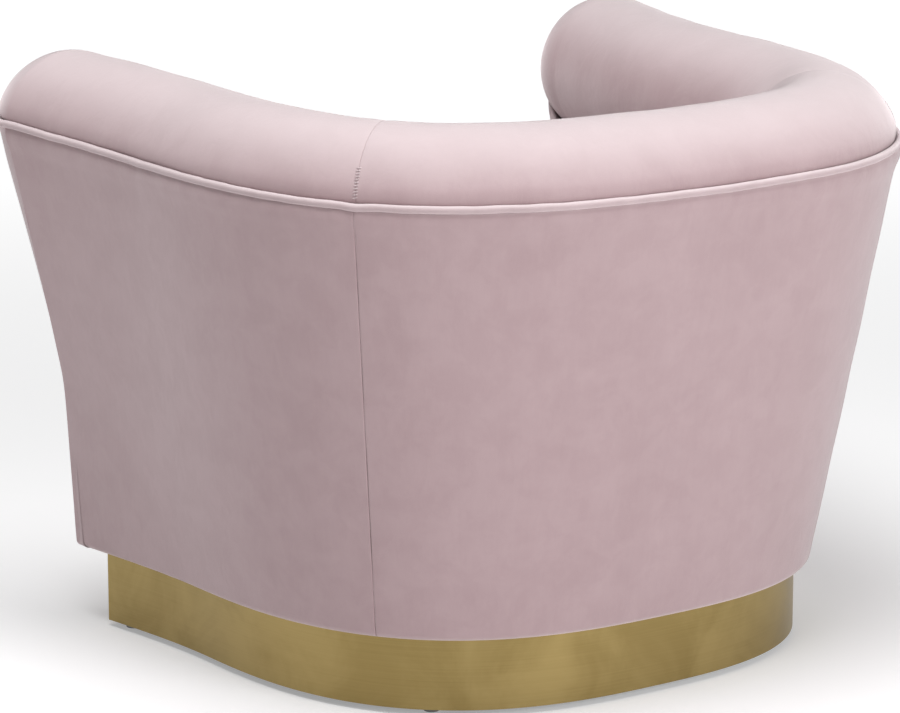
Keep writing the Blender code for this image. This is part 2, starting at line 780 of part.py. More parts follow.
def make_cushion(surfaces):
    """A foam core in a sewn cover: top and bottom panels, a band round the side and two welts."""
    low, high = CUSHION_CORE_BOTTOM, CUSHION_CORE_TOP
    side = CUSHION_CLOTH + 2 * GAP
    core = [cushion_ring(low, CUSHION_EDGE)]
    core += [cushion_ring(low + CUSHION_EDGE, side), cushion_ring(high - CUSHION_EDGE, side)]
    core += crown_rings(0.0)
    loft("cushion_core", core, surfaces["foam"])
    under = crown_rings(GAP)
    over = crown_rings(GAP + CUSHION_CLOTH)
    loft("cushion_top_panel", under[::-1] + over, surfaces["velvet"])
    plate(
        "cushion_bottom_panel",
        cushion_outline(CUSHION_EDGE),
        CUSHION_BOTTOM,
        CUSHION_BOTTOM + CUSHION_CLOTH,
        surfaces["velvet"],
    )
    band_low, band_high = low + CUSHION_EDGE, high - CUSHION_EDGE
    corners = ((band_low, 0), (band_high, 0), (band_high, CUSHION_CLOTH), (band_low, CUSHION_CLOTH))
    loft("cushion_band", [cushion_ring(z, d) for z, d in corners], surfaces["velvet"], closed=True)
    for name, z in (("bottom", low + PIPING_INSET), ("top", high - PIPING_INSET)):
        bead = []
        for turn in np.linspace(0, 2 * math.pi, 6, endpoint=False):
            inset = PIPING_INSET + WELT_RADIUS * math.cos(turn)
            bead.append(cushion_ring(z + WELT_RADIUS * math.sin(turn), inset))
        loft(f"cushion_welt_{name}", bead, surfaces["velvet"], closed=True)


def main():
    for thing in list(bpy.data.objects):
        bpy.data.objects.remove(thing)
    surfaces = make_materials()
    make_glides(surfaces)
    make_plinth(surfaces)
    make_brackets(surfaces)
    make_seat_frame(surfaces)
    make_springs(surfaces)
    make_deck(surfaces)
    make_tub_frame(surfaces)
    make_tub_skins(surfaces)
    make_arm_fronts(surfaces)
    make_roll(surfaces)
    make_welt(surfaces)
    make_cushion(surfaces)


main()
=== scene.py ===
"""Barrel lounge chair in dusty pink velvet on a brushed gold plinth: its visible surfaces.

Metres, +Z up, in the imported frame: +X is the sitter's left and -Y is the front. The tub is
described by stations: 0 is the front of the left arm, 13 the middle of the back and 26 the front of
the right arm. A surface is a grid of points, first along the stations and then up the wall.
"""

import math

import bmesh
import bpy
import numpy as np
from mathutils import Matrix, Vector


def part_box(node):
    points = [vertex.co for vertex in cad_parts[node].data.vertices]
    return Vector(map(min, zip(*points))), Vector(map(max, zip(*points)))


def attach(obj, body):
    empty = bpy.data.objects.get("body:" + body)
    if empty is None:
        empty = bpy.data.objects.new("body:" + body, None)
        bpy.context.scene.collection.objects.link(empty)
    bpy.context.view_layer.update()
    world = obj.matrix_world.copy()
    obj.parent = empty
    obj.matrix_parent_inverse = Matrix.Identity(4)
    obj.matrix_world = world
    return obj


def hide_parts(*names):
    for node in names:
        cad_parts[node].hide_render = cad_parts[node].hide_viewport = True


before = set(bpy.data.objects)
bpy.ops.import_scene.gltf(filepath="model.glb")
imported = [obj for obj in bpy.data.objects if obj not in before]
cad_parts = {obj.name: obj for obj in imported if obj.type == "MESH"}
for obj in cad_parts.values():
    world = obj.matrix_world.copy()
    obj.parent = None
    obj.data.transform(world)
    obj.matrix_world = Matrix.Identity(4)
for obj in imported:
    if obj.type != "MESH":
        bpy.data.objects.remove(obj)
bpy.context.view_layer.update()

# ---- sizes read from the frame ----
WELT_RADIUS = 0.004
band_low, band_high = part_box("plinth_band_rear")
body_low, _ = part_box("outside_cover_back")
_, welt_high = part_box("welt")
border_low, border_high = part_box("front_border")
cushion_low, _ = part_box("cushion_bottom_panel")
deck_low, deck_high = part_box("deck_pad")

PLINTH_FRONT, PLINTH_BACK = band_low[1], band_high[1]
PLINTH_FRONT_HALF_WIDTH = band_high[0]
BODY_BOTTOM = body_low[2]
BODY_FRONT = border_low[1]
BORDER_TOP = border_high[2]
TUB_BACK = welt_high[1] - WELT_RADIUS
TUB_FRONT_HALF_WIDTH = welt_high[0] - WELT_RADIUS
DECK_TOP = deck_high[2]
CUSHION_BOTTOM = cushion_low[2]

# ---- sizes of the covers ----
ROLL_RADIUS = 0.100
ROLL_DROP = 0.016
ROLL_FLAT = 0.0766
DOME_SHARE = 0.975
WELT_HEIGHT = 0.648
ARM_RISE = 0.025
ARM_RISE_POWER = 2.3
TUB_HALF_WIDTH = 0.501
PLINTH_HALF_WIDTH = 0.390
OVERHANG = 0.0185
BACK_ROUNDNESS = 2.65
BACK_CURVE = 0.488
PLINTH_CURVE = 0.4186
BREAK_HEIGHT = 0.330
BREAK_SOFTNESS = 0.035
PLUMB_SHARE = 0.15
FLARE_FADE, FLARE_FADE_POWER = 5.6, 1.25
PIPING = 0.0048
COVER = 0.0025
BOTTOM_ROUNDING = 0.008
BODY_UNDERSIDE = BODY_BOTTOM - 0.0012
SEAT_HALF_WIDTH, SEAT_FRONT_HALF_WIDTH = 0.306, 0.337
SEAT_BACK, SEAT_CURVE, SEAT_ROUNDNESS = 0.188, 0.280, 2.4
NECK_SETBACK, NECK_CURVE = 0.178, 0.330
PAD_INSET = 0.0516
PAD_BOTTOM = CUSHION_BOTTOM - 0.028
FACING = 0.008
CUSHION_CLEARANCE = 0.009
CUSHION_HEIGHT = 0.135
CUSHION_NOSE, CUSHION_BOW = 0.034, 0.022
ARM_END = ROLL_RADIUS - TUB_BACK

SIDE_END, SEAM, MIDDLE, LAST = 4, 8, 13, 26
FAR_SEAM = LAST - SEAM
SEAM_ANGLE = math.radians(38)


# ---- lines in plan ----
class Line:
    """A line in plan from the left arm's front round the back to the right arm's front. Each side
    eases from the front half width to the half width as a quarter sine, and the back is the
    superellipse |x / width| ** n + |y / curve| ** n = 1, taken at evenly spaced angles."""

    def __init__(self, half_width, front_half_width, front, back, curve, roundness):
        self.half_width, self.front_half_width = half_width, front_half_width
        self.front, self.back, self.curve = front, back, curve
        self.power = 2 / roundness

    def at(self, station):
        station = np.asarray(station, float)
        near = np.minimum(station, LAST - station)
        run = np.clip(near / SIDE_END, 0, 1)
        angle = np.interp(near, (SIDE_END, SEAM, MIDDLE), (0, SEAM_ANGLE, math.pi / 2))
        start = self.back - self.curve
        ease = self.front_half_width + (self.half_width - self.front_half_width) * np.sin(run * math.pi / 2)
        across = np.where(near < SIDE_END, ease, self.half_width * np.cos(angle) ** self.power)
        along = np.where(
            near < SIDE_END,
            self.front + (start - self.front) * run,
            start + self.curve * np.sin(angle) ** self.power,
        )
        return np.stack([np.where(station <= MIDDLE, across, -across), along], -1)

    def normal(self, station):
        """Outwards in plan: square to the arms' sides, and square to the line round the back."""
        station = np.asarray(station, float)
        small = 0.01
        ahead = self.at(np.minimum(station + small, LAST)) - self.at(np.maximum(station - small, 0))
        out = np.stack([ahead[..., 1], -ahead[..., 0]], -1)
        out[station <= SIDE_END] = (1, 0)
        out[station >= LAST - SIDE_END] = (-1, 0)
        return out / np.linalg.norm(out, axis=-1, keepdims=True)


PLINTH_LINE = Line(
    PLINTH_HALF_WIDTH, PLINTH_FRONT_HALF_WIDTH, PLINTH_FRONT, PLINTH_BACK, PLINTH_CURVE, BACK_ROUNDNESS
)
BODY_LINE = Line(
    PLINTH_HALF_WIDTH + OVERHANG,
    PLINTH_FRONT_HALF_WIDTH + OVERHANG,
    BODY_FRONT,
    PLINTH_BACK + OVERHANG,
    PLINTH_CURVE + OVERHANG,
    BACK_ROUNDNESS,
)
WELT_LINE = Line(TUB_HALF_WIDTH, TUB_FRONT_HALF_WIDTH, ARM_END, TUB_BACK, BACK_CURVE, BACK_ROUNDNESS)
SEAT_LINE = Line(
    SEAT_HALF_WIDTH, SEAT_FRONT_HALF_WIDTH, ARM_END, SEAT_BACK, SEAT_CURVE, SEAT_ROUNDNESS
)
NECK_LINE = Line(
    TUB_HALF_WIDTH - NECK_SETBACK,
    TUB_FRONT_HALF_WIDTH - NECK_SETBACK,
    ARM_END,
    TUB_BACK - NECK_SETBACK,
    NECK_CURVE,
    SEAT_ROUNDNESS,
)


def mix(a, b, share):
    """a at share 0, b at share 1."""
    return a + (b - a) * share


def smooth(share):
    """0 below 0, 1 above 1, and the cubic ease 3 t^2 - 2 t^3 between."""
    share = np.clip(share, 0, 1)
    return share * share * (3 - 2 * share)


def welt_height(station):
    """The welt's level: lowest at the middle of the back, rising towards the arms."""
    return WELT_HEIGHT + ARM_RISE * np.abs(station / MIDDLE - 1) ** ARM_RISE_POWER


def neck_height(station):
    """Where the inside pads meet the underside of the roll."""
    return welt_height(station) - ROLL_DROP - ROLL_FLAT


def hinge(x):
    """A bend from 0 to x at x = 0, rounded: (x + sqrt(x^2 + softness^2)) / 2."""
    return (x + np.sqrt(x * x + BREAK_SOFTNESS**2)) / 2


def flare(station, height):
    """How far the wall has leaned from the body line (0) to the welt line (1). It is straight on
    the back, and near an arm's front it stays plumb up to the break, then leans out."""
    rise = welt_height(station) - BODY_BOTTOM
    straight = (BREAK_HEIGHT - BODY_BOTTOM) / rise
    near = np.minimum(station, LAST - station)
    plumb = np.clip(1 - near / FLARE_FADE, 0, 1) ** FLARE_FADE_POWER
    at_break = mix(straight, PLUMB_SHARE, plumb)
    below, above = at_break / straight, (1 - at_break) / (1 - straight)
    share = (height - BODY_BOTTOM) / rise
    start = hinge(-straight)
    bent = below * share + (above - below) * (hinge(share - straight) - start)
    return bent / (below + (above - below) * (hinge(1 - straight) - start))


def wall(station, height, inset=0.0):
    """A point of the outside wall, moved in by inset."""
    lean = flare(station, height)[..., None]
    plan = mix(BODY_LINE.at(station), WELT_LINE.at(station), lean)
    plan = plan - np.asarray(inset)[..., None] * WELT_LINE.normal(station)
    return np.concatenate([plan, np.broadcast_to(height, plan.shape[:-1])[..., None]], -1)


# ---- grids and meshes ----
fine_stations = np.linspace(0, LAST, 5201)
fine_steps = np.linalg.norm(np.diff(WELT_LINE.at(fine_stations), axis=0), axis=1)
fine_run = np.concatenate([[0], np.cumsum(fine_steps)])
EDGE_STEPS = np.array((0, 0.0003, 0.0008, 0.0015, 0.0025, 0.004, 0.0065, 0.010))
SEAM_GAP = 0.0001
MERGE = 2e-6


def spread(length, pitch):
    """Distances from 0 to length, close together near both ends."""
    count = max(int((length - 2 * EDGE_STEPS[-1]) / pitch), 2)
    middle = np.linspace(EDGE_STEPS[-1], length - EDGE_STEPS[-1], count + 1)[1:-1]
    return np.concatenate([EDGE_STEPS, middle, length - EDGE_STEPS[::-1]])


def columns(first, last, pitch, gap=SEAM_GAP):
    """Stations evenly spaced along the welt line, and their distances from the first and last. A
    seam leaves a small gap, and an arm's front leaves none."""
    gaps = (gap if first else 0.0, -gap if last != LAST else 0.0)
    start, end = np.interp((first, last), fine_stations, fine_run) + gaps
    run = spread(end - start, pitch)
    return np.interp(start + run, fine_run, fine_stations), run, (end - start) - run


def tuck(distance, radius, depth):
    """How far a cover rolls in towards a seam: a quarter round of that radius, scaled to depth."""
    rest = 1 - np.clip(distance / radius, 0, 1)
    return depth * (1 - np.sqrt(1 - rest * rest))


# Each cover's unevenness is a sum of ripples, each given as its height, wavelength and seed.
COVER_WAVES = ((0.0009, 0.30, 3), (0.0004, 0.11, 4))
ROLL_WAVES = ((0.0011, 0.26, 7), (0.0005, 0.09, 8))
FACING_WAVES = ((0.0005, 0.13, 11),)
PAD_WAVES = ((0.0012, 0.22, 15),)
BORDER_WAVES = ((0.0006, 0.15, 21),)
WELT_WAVES = ((0.0004, 0.05, 31), (0.0005, 0.2, 32))
PIPING_WAVES = ((0.03, 0.02, 33),)
CUSHION_WAVES = ((0.0012, 0.2, 41),)
RIPPLE_WAVES, RIPPLE_SPREAD, RIPPLE_GAIN = 8, 1.7, 1.8


def ripple(points, wavelength, seed):
    """Soft unevenness, about -1 to 1: the mean of eight sine waves in fixed directions."""
    fixed = np.random.default_rng(seed)
    waves = fixed.normal(size=(RIPPLE_WAVES, 3)) * 2 * math.pi / wavelength / RIPPLE_SPREAD
    phases = fixed.uniform(0, 2 * math.pi, RIPPLE_WAVES)
    return np.sin(points @ waves.T + phases).mean(-1) * RIPPLE_GAIN


def unevenness(points, waves):
    """The sum of a cover's ripples at each point."""
    return sum(height * ripple(points, wavelength, seed) for height, wavelength, seed in waves)


def normals(grid):
    """Unit normals of a grid, from the cross product of its two directions."""
    across = np.cross(np.gradient(grid, axis=0), np.gradient(grid, axis=1))
    return across / np.maximum(np.linalg.norm(across, axis=-1, keepdims=True), 1e-12)


def outward_of(line):
    """Unit normals in plan of a closed line that runs anticlockwise."""
    ahead = np.roll(line, -1, axis=0) - np.roll(line, 1, axis=0)
    out = np.stack([ahead[:, 1], -ahead[:, 0]], -1)
    return out / np.linalg.norm(out, axis=1, keepdims=True)


def quads(count, rows, start=0, closed=False):
    """Faces over a grid of count columns; closed joins the last row to the first."""
    c = np.arange(count - 1)[:, None]
    r = np.arange(rows if closed else rows - 1)[None, :]
    a, b = start + c * rows + r, start + c * rows + (r + 1) % rows
    return np.stack([a, a + rows, b + rows, b], -1).reshape(-1, 4).tolist()


def piece(name, points, faces, finish, body="tub", stands_for=(), sharp=50):
    """Makes the mesh with doubled points merged and faces outwards, and puts it on its body."""
    mesh = bpy.data.meshes.new(name)
    mesh.from_pydata(np.reshape(points, (-1, 3)).tolist(), [], faces)
    work = bmesh.new()
    work.from_mesh(mesh)
    bmesh.ops.remove_doubles(work, verts=work.verts, dist=MERGE)
    bmesh.ops.recalc_face_normals(work, faces=work.faces)
    work.to_mesh(mesh)
    work.free()
    mesh.shade_smooth()
    mesh.set_sharp_from_angle(angle=math.radians(sharp))
    mesh.materials.append(finish)
    made = bpy.data.objects.new(name, mesh)
    bpy.context.scene.collection.objects.link(made)
    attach(made, body)
    if stands_for:
        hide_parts(*stands_for)
    return made


def shell(name, outer, inner, finish, **more):
    """A closed skin between two equal grids, with a rim round their edges."""
    count, rows = outer.shape[:2]
    ids = np.arange(count * rows).reshape(count, rows)
    rim = np.concatenate([ids[0, :-1], ids[:-1, -1], ids[-1, :0:-1], ids[:0:-1, 0]])
    beyond = np.roll(rim, -1)
    size = count * rows
    edge = np.stack([rim, beyond, beyond + size, rim + size], -1).tolist()
    faces = quads(count, rows) + quads(count, rows, size) + edge
    return piece(name, np.concatenate([outer.reshape(-1, 3), inner.reshape(-1, 3)]), faces, finish, **more)


def tube(name, path, radius, finish, sides=12, closed=False, **more):
    """A round section carried along a path, square to it."""
    ahead = np.gradient(path, axis=0)
    if closed:
        ahead = np.roll(path, -1, axis=0) - np.roll(path, 1, axis=0)
    ahead = ahead / np.linalg.norm(ahead, axis=1, keepdims=True)
    side = np.cross(ahead, (0, 0, 1))
    side = side / np.linalg.norm(side, axis=1, keepdims=True)
    over = np.cross(side, ahead)
    turn = np.linspace(0, 2 * math.pi, sides, endpoint=False)[None, :, None]
    reach = np.broadcast_to(radius, len(path))[:, None, None]
    rings = path[:, None] + reach * (np.cos(turn) * side[:, None] + np.sin(turn) * over[:, None])
    if closed:
        rings = np.concatenate([rings, rings[:1]])
        return piece(name, rings, quads(len(rings), sides, closed=True), finish, **more)
    ends = [list(range(sides)), list(range((len(path) - 1) * sides, len(path) * sides))]
    return piece(name, rings, quads(len(rings), sides, closed=True) + ends, finish, **more)


# ---- finishes ----
class Socket:
    """An output socket. Each operator on it adds a Math node."""

    def __init__(self, finish, output):
        self.finish, self.output = finish, output

    def _maths(self, operation, a, b):
        return self.finish.node("ShaderNodeMath", {"operation": operation}, {0: a, 1: b})

    def __add__(self, other):
        return self._maths("ADD", self, other)

    def __radd__(self, other):
        return self._maths("ADD", other, self)

    def __mul__(self, other):
        return self._maths("MULTIPLY", self, other)

    def __rmul__(self, other):
        return self._maths("MULTIPLY", other, self)


def opaque(colour):
    """A colour with its fourth number, or a socket as it is."""
    return colour if isinstance(colour, Socket) else (*colour, 1.0)


class Finish:
    """A material under construction: its Principled shader and the nodes that feed it."""

    def __init__(self, name, **constants):
        self.material = bpy.data.materials.new(name)
        self.material.use_nodes = True
        self.tree = self.material.node_tree
        self.shader = self.tree.nodes["Principled BSDF"]
        for socket, value in constants.items():
            self.shader.inputs[socket.replace("_", " ")].default_value = value
        self.place = self.node("ShaderNodeTexCoord", {}, {}, "Object")

    def node(self, kind, settings, values, output=0):
        """Adds a node: its settings first, then each socket's value or link. Gives one output."""
        made = self.tree.nodes.new(kind)
        for setting, value in settings.items():
            setattr(made, setting, value)
        for socket, value in values.items():
            if isinstance(value, Socket):
                self.tree.links.new(value.output, made.inputs[socket])
            else:
                made.inputs[socket].default_value = value
        return Socket(self, made.outputs[output])

    def stretched(self, scale):
        """The place, stretched along each axis."""
        return self.node("ShaderNodeVectorMath", {"operation": "MULTIPLY"}, {0: self.place, 1: scale})

    def noise(self, scale, detail=2.0, roughness=0.5, place=None, distortion=0.0):
        """A noise value at each place, about 0 to 1."""
        values = {"Vector": place or self.place, "Scale": scale, "Detail": detail}
        values |= {"Roughness": roughness, "Distortion": distortion}
        return self.node("ShaderNodeTexNoise", {}, values, "Fac")

    def spread_out(self, value, low, high):
        """Stretches the values from low to high over 0 to 1."""
        return self.node(
            "ShaderNodeMapRange",
            {"interpolation_type": "SMOOTHSTEP"},
            {"Value": value, "From Min": low, "From Max": high},
            "Result",
        )

    def upward(self):
        """The surface normal's upward part."""
        normal = self.node("ShaderNodeTexCoord", {}, {}, "Normal")
        return self.node("ShaderNodeSeparateXYZ", {}, {0: normal}, "Z")

    def blend(self, a, b, share):
        """The colour a at share 0 and b at share 1."""
        values = {0: share, 6: opaque(a), 7: opaque(b)}
        return self.node("ShaderNodeMix", {"data_type": "RGBA"}, values, 2)

    def feed(self, socket, value):
        """Links a value to one of the shader's sockets."""
        self.tree.links.new(value.output, self.shader.inputs[socket])

    def bump(self, height, distance, strength=1.0):
        """Tilts the surface by a height map, without moving the mesh."""
        values = {"Height": height, "Distance": distance, "Strength": strength}
        self.feed("Normal", self.node("ShaderNodeBump", {}, values, "Normal"))


# Painted highlight: a pale colour, and how much of it is mixed into the velvet on upward-facing surfaces,
# standing in for the light from above.
PAINTED_TOP_LIGHT, PAINTED_TOP_LIGHT_SHARE = (0.80, 0.74, 0.75), 0.36


def velvet(name, deep, mid, pale):
    """Cut pile: soft marks where the pile lies over, faint upright streaks and a fine nap, and a
    painted highlight: the colour turns paler on upward-facing surfaces, where the top light falls."""
    finish = Finish(
        name,
        Sheen_Weight=1.0,
        Sheen_Roughness=0.45,
        Sheen_Tint=(1.0, 0.93, 0.94, 1.0),
        Specular_IOR_Level=0.15,
    )
    marks = finish.spread_out(finish.noise(7.5, 4.0, 0.6, distortion=0.4), 0.34, 0.66)
    patches = finish.spread_out(finish.noise(26.0, 3.0, 0.6, distortion=0.4), 0.34, 0.66)
    streaks = finish.noise(1.0, 3.0, 0.6, place=finish.stretched((150.0, 150.0, 14.0)))
    nap = finish.noise(1100.0, 2.0, 0.7)
    lean = marks * 0.34 + patches * 0.30 + streaks * 0.36
    base = finish.blend(finish.blend(deep, mid, lean), pale, nap * 0.22)
    # Painted highlight: upward-facing surfaces are mixed towards the pale colour, as if lit from above.
    upward = finish.spread_out(finish.upward(), 0.2, 1.0)
    finish.feed("Base Color", finish.blend(base, PAINTED_TOP_LIGHT, upward * PAINTED_TOP_LIGHT_SHARE))
    finish.feed("Roughness", 0.80 + marks * 0.12)
    finish.bump(nap * 0.7 + streaks * 0.5 + patches * 0.9, 0.0005, 0.45)
    return finish.material


def brushed(name, deep, pale, roughness, lines, bump=0.00006):
    """Metal rubbed in one direction, so that fine lines run round it, with soft clouding."""
    finish = Finish(name, Metallic=1.0)
    rubbing = finish.noise(1.0, 4.0, 0.7, place=finish.stretched(lines))
    clouds = finish.spread_out(finish.noise(9.0, 4.0, 0.6, distortion=0.6), 0.33, 0.67)
    finish.feed("Base Color", finish.blend(deep, pale, rubbing * 0.5 + clouds * 0.45))
    finish.feed("Roughness", roughness - 0.05 + rubbing * 0.12 + clouds * 0.05)
    finish.bump(rubbing, bump, 0.5)
    return finish.material


def grained(name, deep, pale, roughness, stretch, bump=0.0003):
    """Wood, board, foam or cloth: two colours mixed by noise drawn out along the grain."""
    finish = Finish(name)
    grain = finish.noise(1.0, 6.0, 0.65, place=finish.stretched(stretch))
    clouds = finish.noise(9.0, 2.0, 0.5)
    finish.feed("Base Color", finish.blend(deep, pale, grain * 0.75 + clouds * 0.25))
    finish.feed("Roughness", roughness - 0.05 + grain * 0.1)
    finish.bump(grain, bump, 0.6)
    return finish.material


def make_finishes():
    """Every finish by its slot. The colours are linear: the deeper, then the paler."""
    return {
        "velvet": velvet("velvet", (0.370, 0.256, 0.268), (0.440, 0.320, 0.333), (0.57, 0.455, 0.47)),
        "gold": brushed("gold", (0.235, 0.168, 0.060), (0.40, 0.300, 0.125), 0.32, (3.0, 3.0, 420.0)),
        "plywood": grained("plywood", (0.42, 0.28, 0.15), (0.66, 0.48, 0.29), 0.6, (60, 60, 420)),
        "beech": grained("beech", (0.50, 0.32, 0.18), (0.70, 0.50, 0.32), 0.55, (150, 150, 9)),
        "fibreboard": grained("fibreboard", (0.26, 0.18, 0.11), (0.42, 0.31, 0.20), 0.85, (300, 300, 300)),
        "foam": grained("foam", (0.68, 0.62, 0.46), (0.84, 0.79, 0.64), 0.95, (500, 500, 500)),
        "wire": brushed("wire", (0.26, 0.26, 0.27), (0.45, 0.45, 0.46), 0.35, (90.0, 90.0, 90.0)),
        "bracket_steel": brushed("bracket_steel", (0.42, 0.42, 0.43), (0.58, 0.58, 0.59), 0.4, (60, 60, 60)),
        "cambric": grained("cambric", (0.012, 0.012, 0.013), (0.045, 0.045, 0.047), 0.9, (900, 900, 900)),
        "nylon": grained("nylon", (0.16, 0.16, 0.165), (0.24, 0.24, 0.245), 0.45, (200, 200, 200), 0.0001),
    }


finishes = make_finishes()
slot_of = {made.name: slot for slot, made in finishes.items()}
VELVET = finishes["velvet"]
# The stitches are the same velvet in a paler thread colour. The piping is the same velvet painted paler all
# over, a painted highlight where it stands proud in the light.
THREAD = velvet("thread", (0.49, 0.39, 0.402), (0.57, 0.47, 0.483), (0.68, 0.59, 0.60))
PIPING_WITH_PAINTED_HIGHLIGHT = velvet("piped", (0.43, 0.325, 0.337), (0.51, 0.40, 0.413), (0.62, 0.52, 0.53))
slot_of |= {"thread": "velvet", "piped": "velvet"}

# ---- tub covers ----
LENGTHS = (("left", 0, SEAM), ("back", SEAM, FAR_SEAM), ("right", FAR_SEAM, LAST))
# Each edge is given as the radius and the depth of its tuck.
ARM_CORNER = (0.0008, 0.0)
WELT_TUCK = (0.0105, 0.0085)
PANEL_SEAM = (0.0016, 0.0015)
FAR_FROM_SEAM = 1.0
UNDER_WELT = 0.001
COVER_PITCH = 0.009
UNDER_WELT_FULLNESS, FULLNESS_DROP, FULLNESS_SPREAD = 0.0032, 0.017, 0.012
PUCKER, PUCKER_PITCH, PUCKER_FADE, SEAM_FADE = 0.0006, 0.037, 0.016, 0.02
PUCKER_DRIFT, DRIFT_RATE, PUCKER_AT_SEAM = 2.5, 11, 1.5
LEVEL_FOOT = 0.03


def turned_under(reach):
    """A cover's lower edge, as insets and heights: it starts underneath, reach roundings in, and
    comes out in a quarter round."""
    below = np.linspace(0, math.pi / 2, 7)
    r = BOTTOM_ROUNDING
    inset = np.concatenate([[reach * r, 1.5 * r], r - r * np.sin(below)])
    height = BODY_UNDERSIDE + r - r * np.cos(below)
    return inset, np.concatenate([[BODY_UNDERSIDE, BODY_UNDERSIDE], height])


def ends_tuck(first, last, from_first, from_last, seam, arm):
    """The roll-in at both ends of a length: a sewn seam, or the corner at an arm's front."""
    at_first = tuck(from_first, *(arm if first == 0 else seam))
    at_last = tuck(from_last, *(arm if last == LAST else seam))
    return np.maximum(at_first, at_last)


def make_outside_covers():
    """Each cover turns under at the bottom with a quarter round, rises along the wall, swells and
    puckers a little below the welt and tucks in behind it."""
    for name, first, last in LENGTHS:
        station, from_first, from_last = columns(first, last, COVER_PITCH)
        turned, turned_z = turned_under(2)
        top = welt_height(station) - UNDER_WELT
        full = WELT_HEIGHT - BODY_UNDERSIDE - BOTTOM_ROUNDING
        down = spread(full, COVER_PITCH)[:0:-1]
        scale = (top - BODY_UNDERSIDE - BOTTOM_ROUNDING) / full
        low = np.broadcast_to(turned_z, (len(station), len(turned_z)))
        z = np.concatenate([low, top[:, None] - down * scale[:, None], top[:, None]], axis=1)
        drop = np.concatenate([np.full(len(turned_z), full), down, [0.0]])
        inset = np.concatenate([turned, tuck(np.append(down, 0.0), *WELT_TUCK)])
        ends = ends_tuck(first, last, from_first, from_last, PANEL_SEAM, ARM_CORNER)
        inset = inset[None, :] + ends[:, None]
        across = np.broadcast_to(station[:, None], z.shape)
        flat = wall(across, z, inset)
        run = np.interp(station, fine_stations, fine_run)[:, None]
        drift = PUCKER_DRIFT * np.sin(run * DRIFT_RATE)
        pucker = np.sin(run * 2 * math.pi / PUCKER_PITCH + drift)
        pucker = pucker * np.exp(-drop / PUCKER_FADE)
        by_seam = np.exp(-np.minimum(from_first, from_last)[:, None] / SEAM_FADE)
        sway = unevenness(flat, COVER_WAVES)
        sway = sway - PUCKER * pucker * (1 + PUCKER_AT_SEAM * by_seam)
        below_welt = np.exp(-(((drop - FULLNESS_DROP) / FULLNESS_SPREAD) ** 2))
        sway = sway + UNDER_WELT_FULLNESS * below_welt
        rise = smooth((z - BODY_BOTTOM) / LEVEL_FOOT)
        outer = flat + normals(flat) * (sway * rise)[..., None]
        shell(
            f"cover_{name}",
            outer,
            outer - normals(flat) * COVER,
            VELVET,
            stands_for=(f"outside_cover_{name}",),
        )


ROLL_SPREAD = np.concatenate([[0, 0.006, 0.014, 0.026, 0.042, 0.065, 0.095], np.linspace(0.13, 1, 26)])
OUTER_EDGE = (0.017, 0.024, 0.0085)
INNER_EDGE = (-ROLL_FLAT, 0.011, 0.006)
ROLL_FOOT, ROLL_FOOT_LIFT = 0.055, 0.002
ROLL_SEAM = (0.0016, 0.0004)
ROLL_SEAM_DIP, ROLL_SEAM_FADE = 0.0011, 0.016
ROLL_PITCH, ROLL_GAP = 0.008, 0.00003


def roll_half(edge, radius, depth, squeeze=0.0):
    """Half of the roll's section from its sewn edge up to its crown, as (across, up): a circle that
    tucks in at the edge. The first two points close the underside. Works on arrays of edges."""
    edge, radius, depth = (np.asarray(v, float)[..., None] for v in (edge, radius, depth))
    low = np.arcsin(edge / ROLL_RADIUS)
    angle = mix(low, math.pi / 2, ROLL_SPREAD)
    drawn_in = tuck((angle - low) * ROLL_RADIUS, radius, depth)
    reach = ROLL_RADIUS - drawn_in - np.asarray(squeeze)[..., None]
    across, up = reach * np.cos(angle), reach * np.sin(angle)
    foot = np.full(across.shape[:-1] + (1,), ROLL_FOOT)
    level = np.full_like(foot, -ROLL_FLAT + ROLL_FOOT_LIFT)
    across = np.concatenate([foot * 0, foot, across], -1)
    up = np.concatenate([level, level, up], -1)
    return across, up


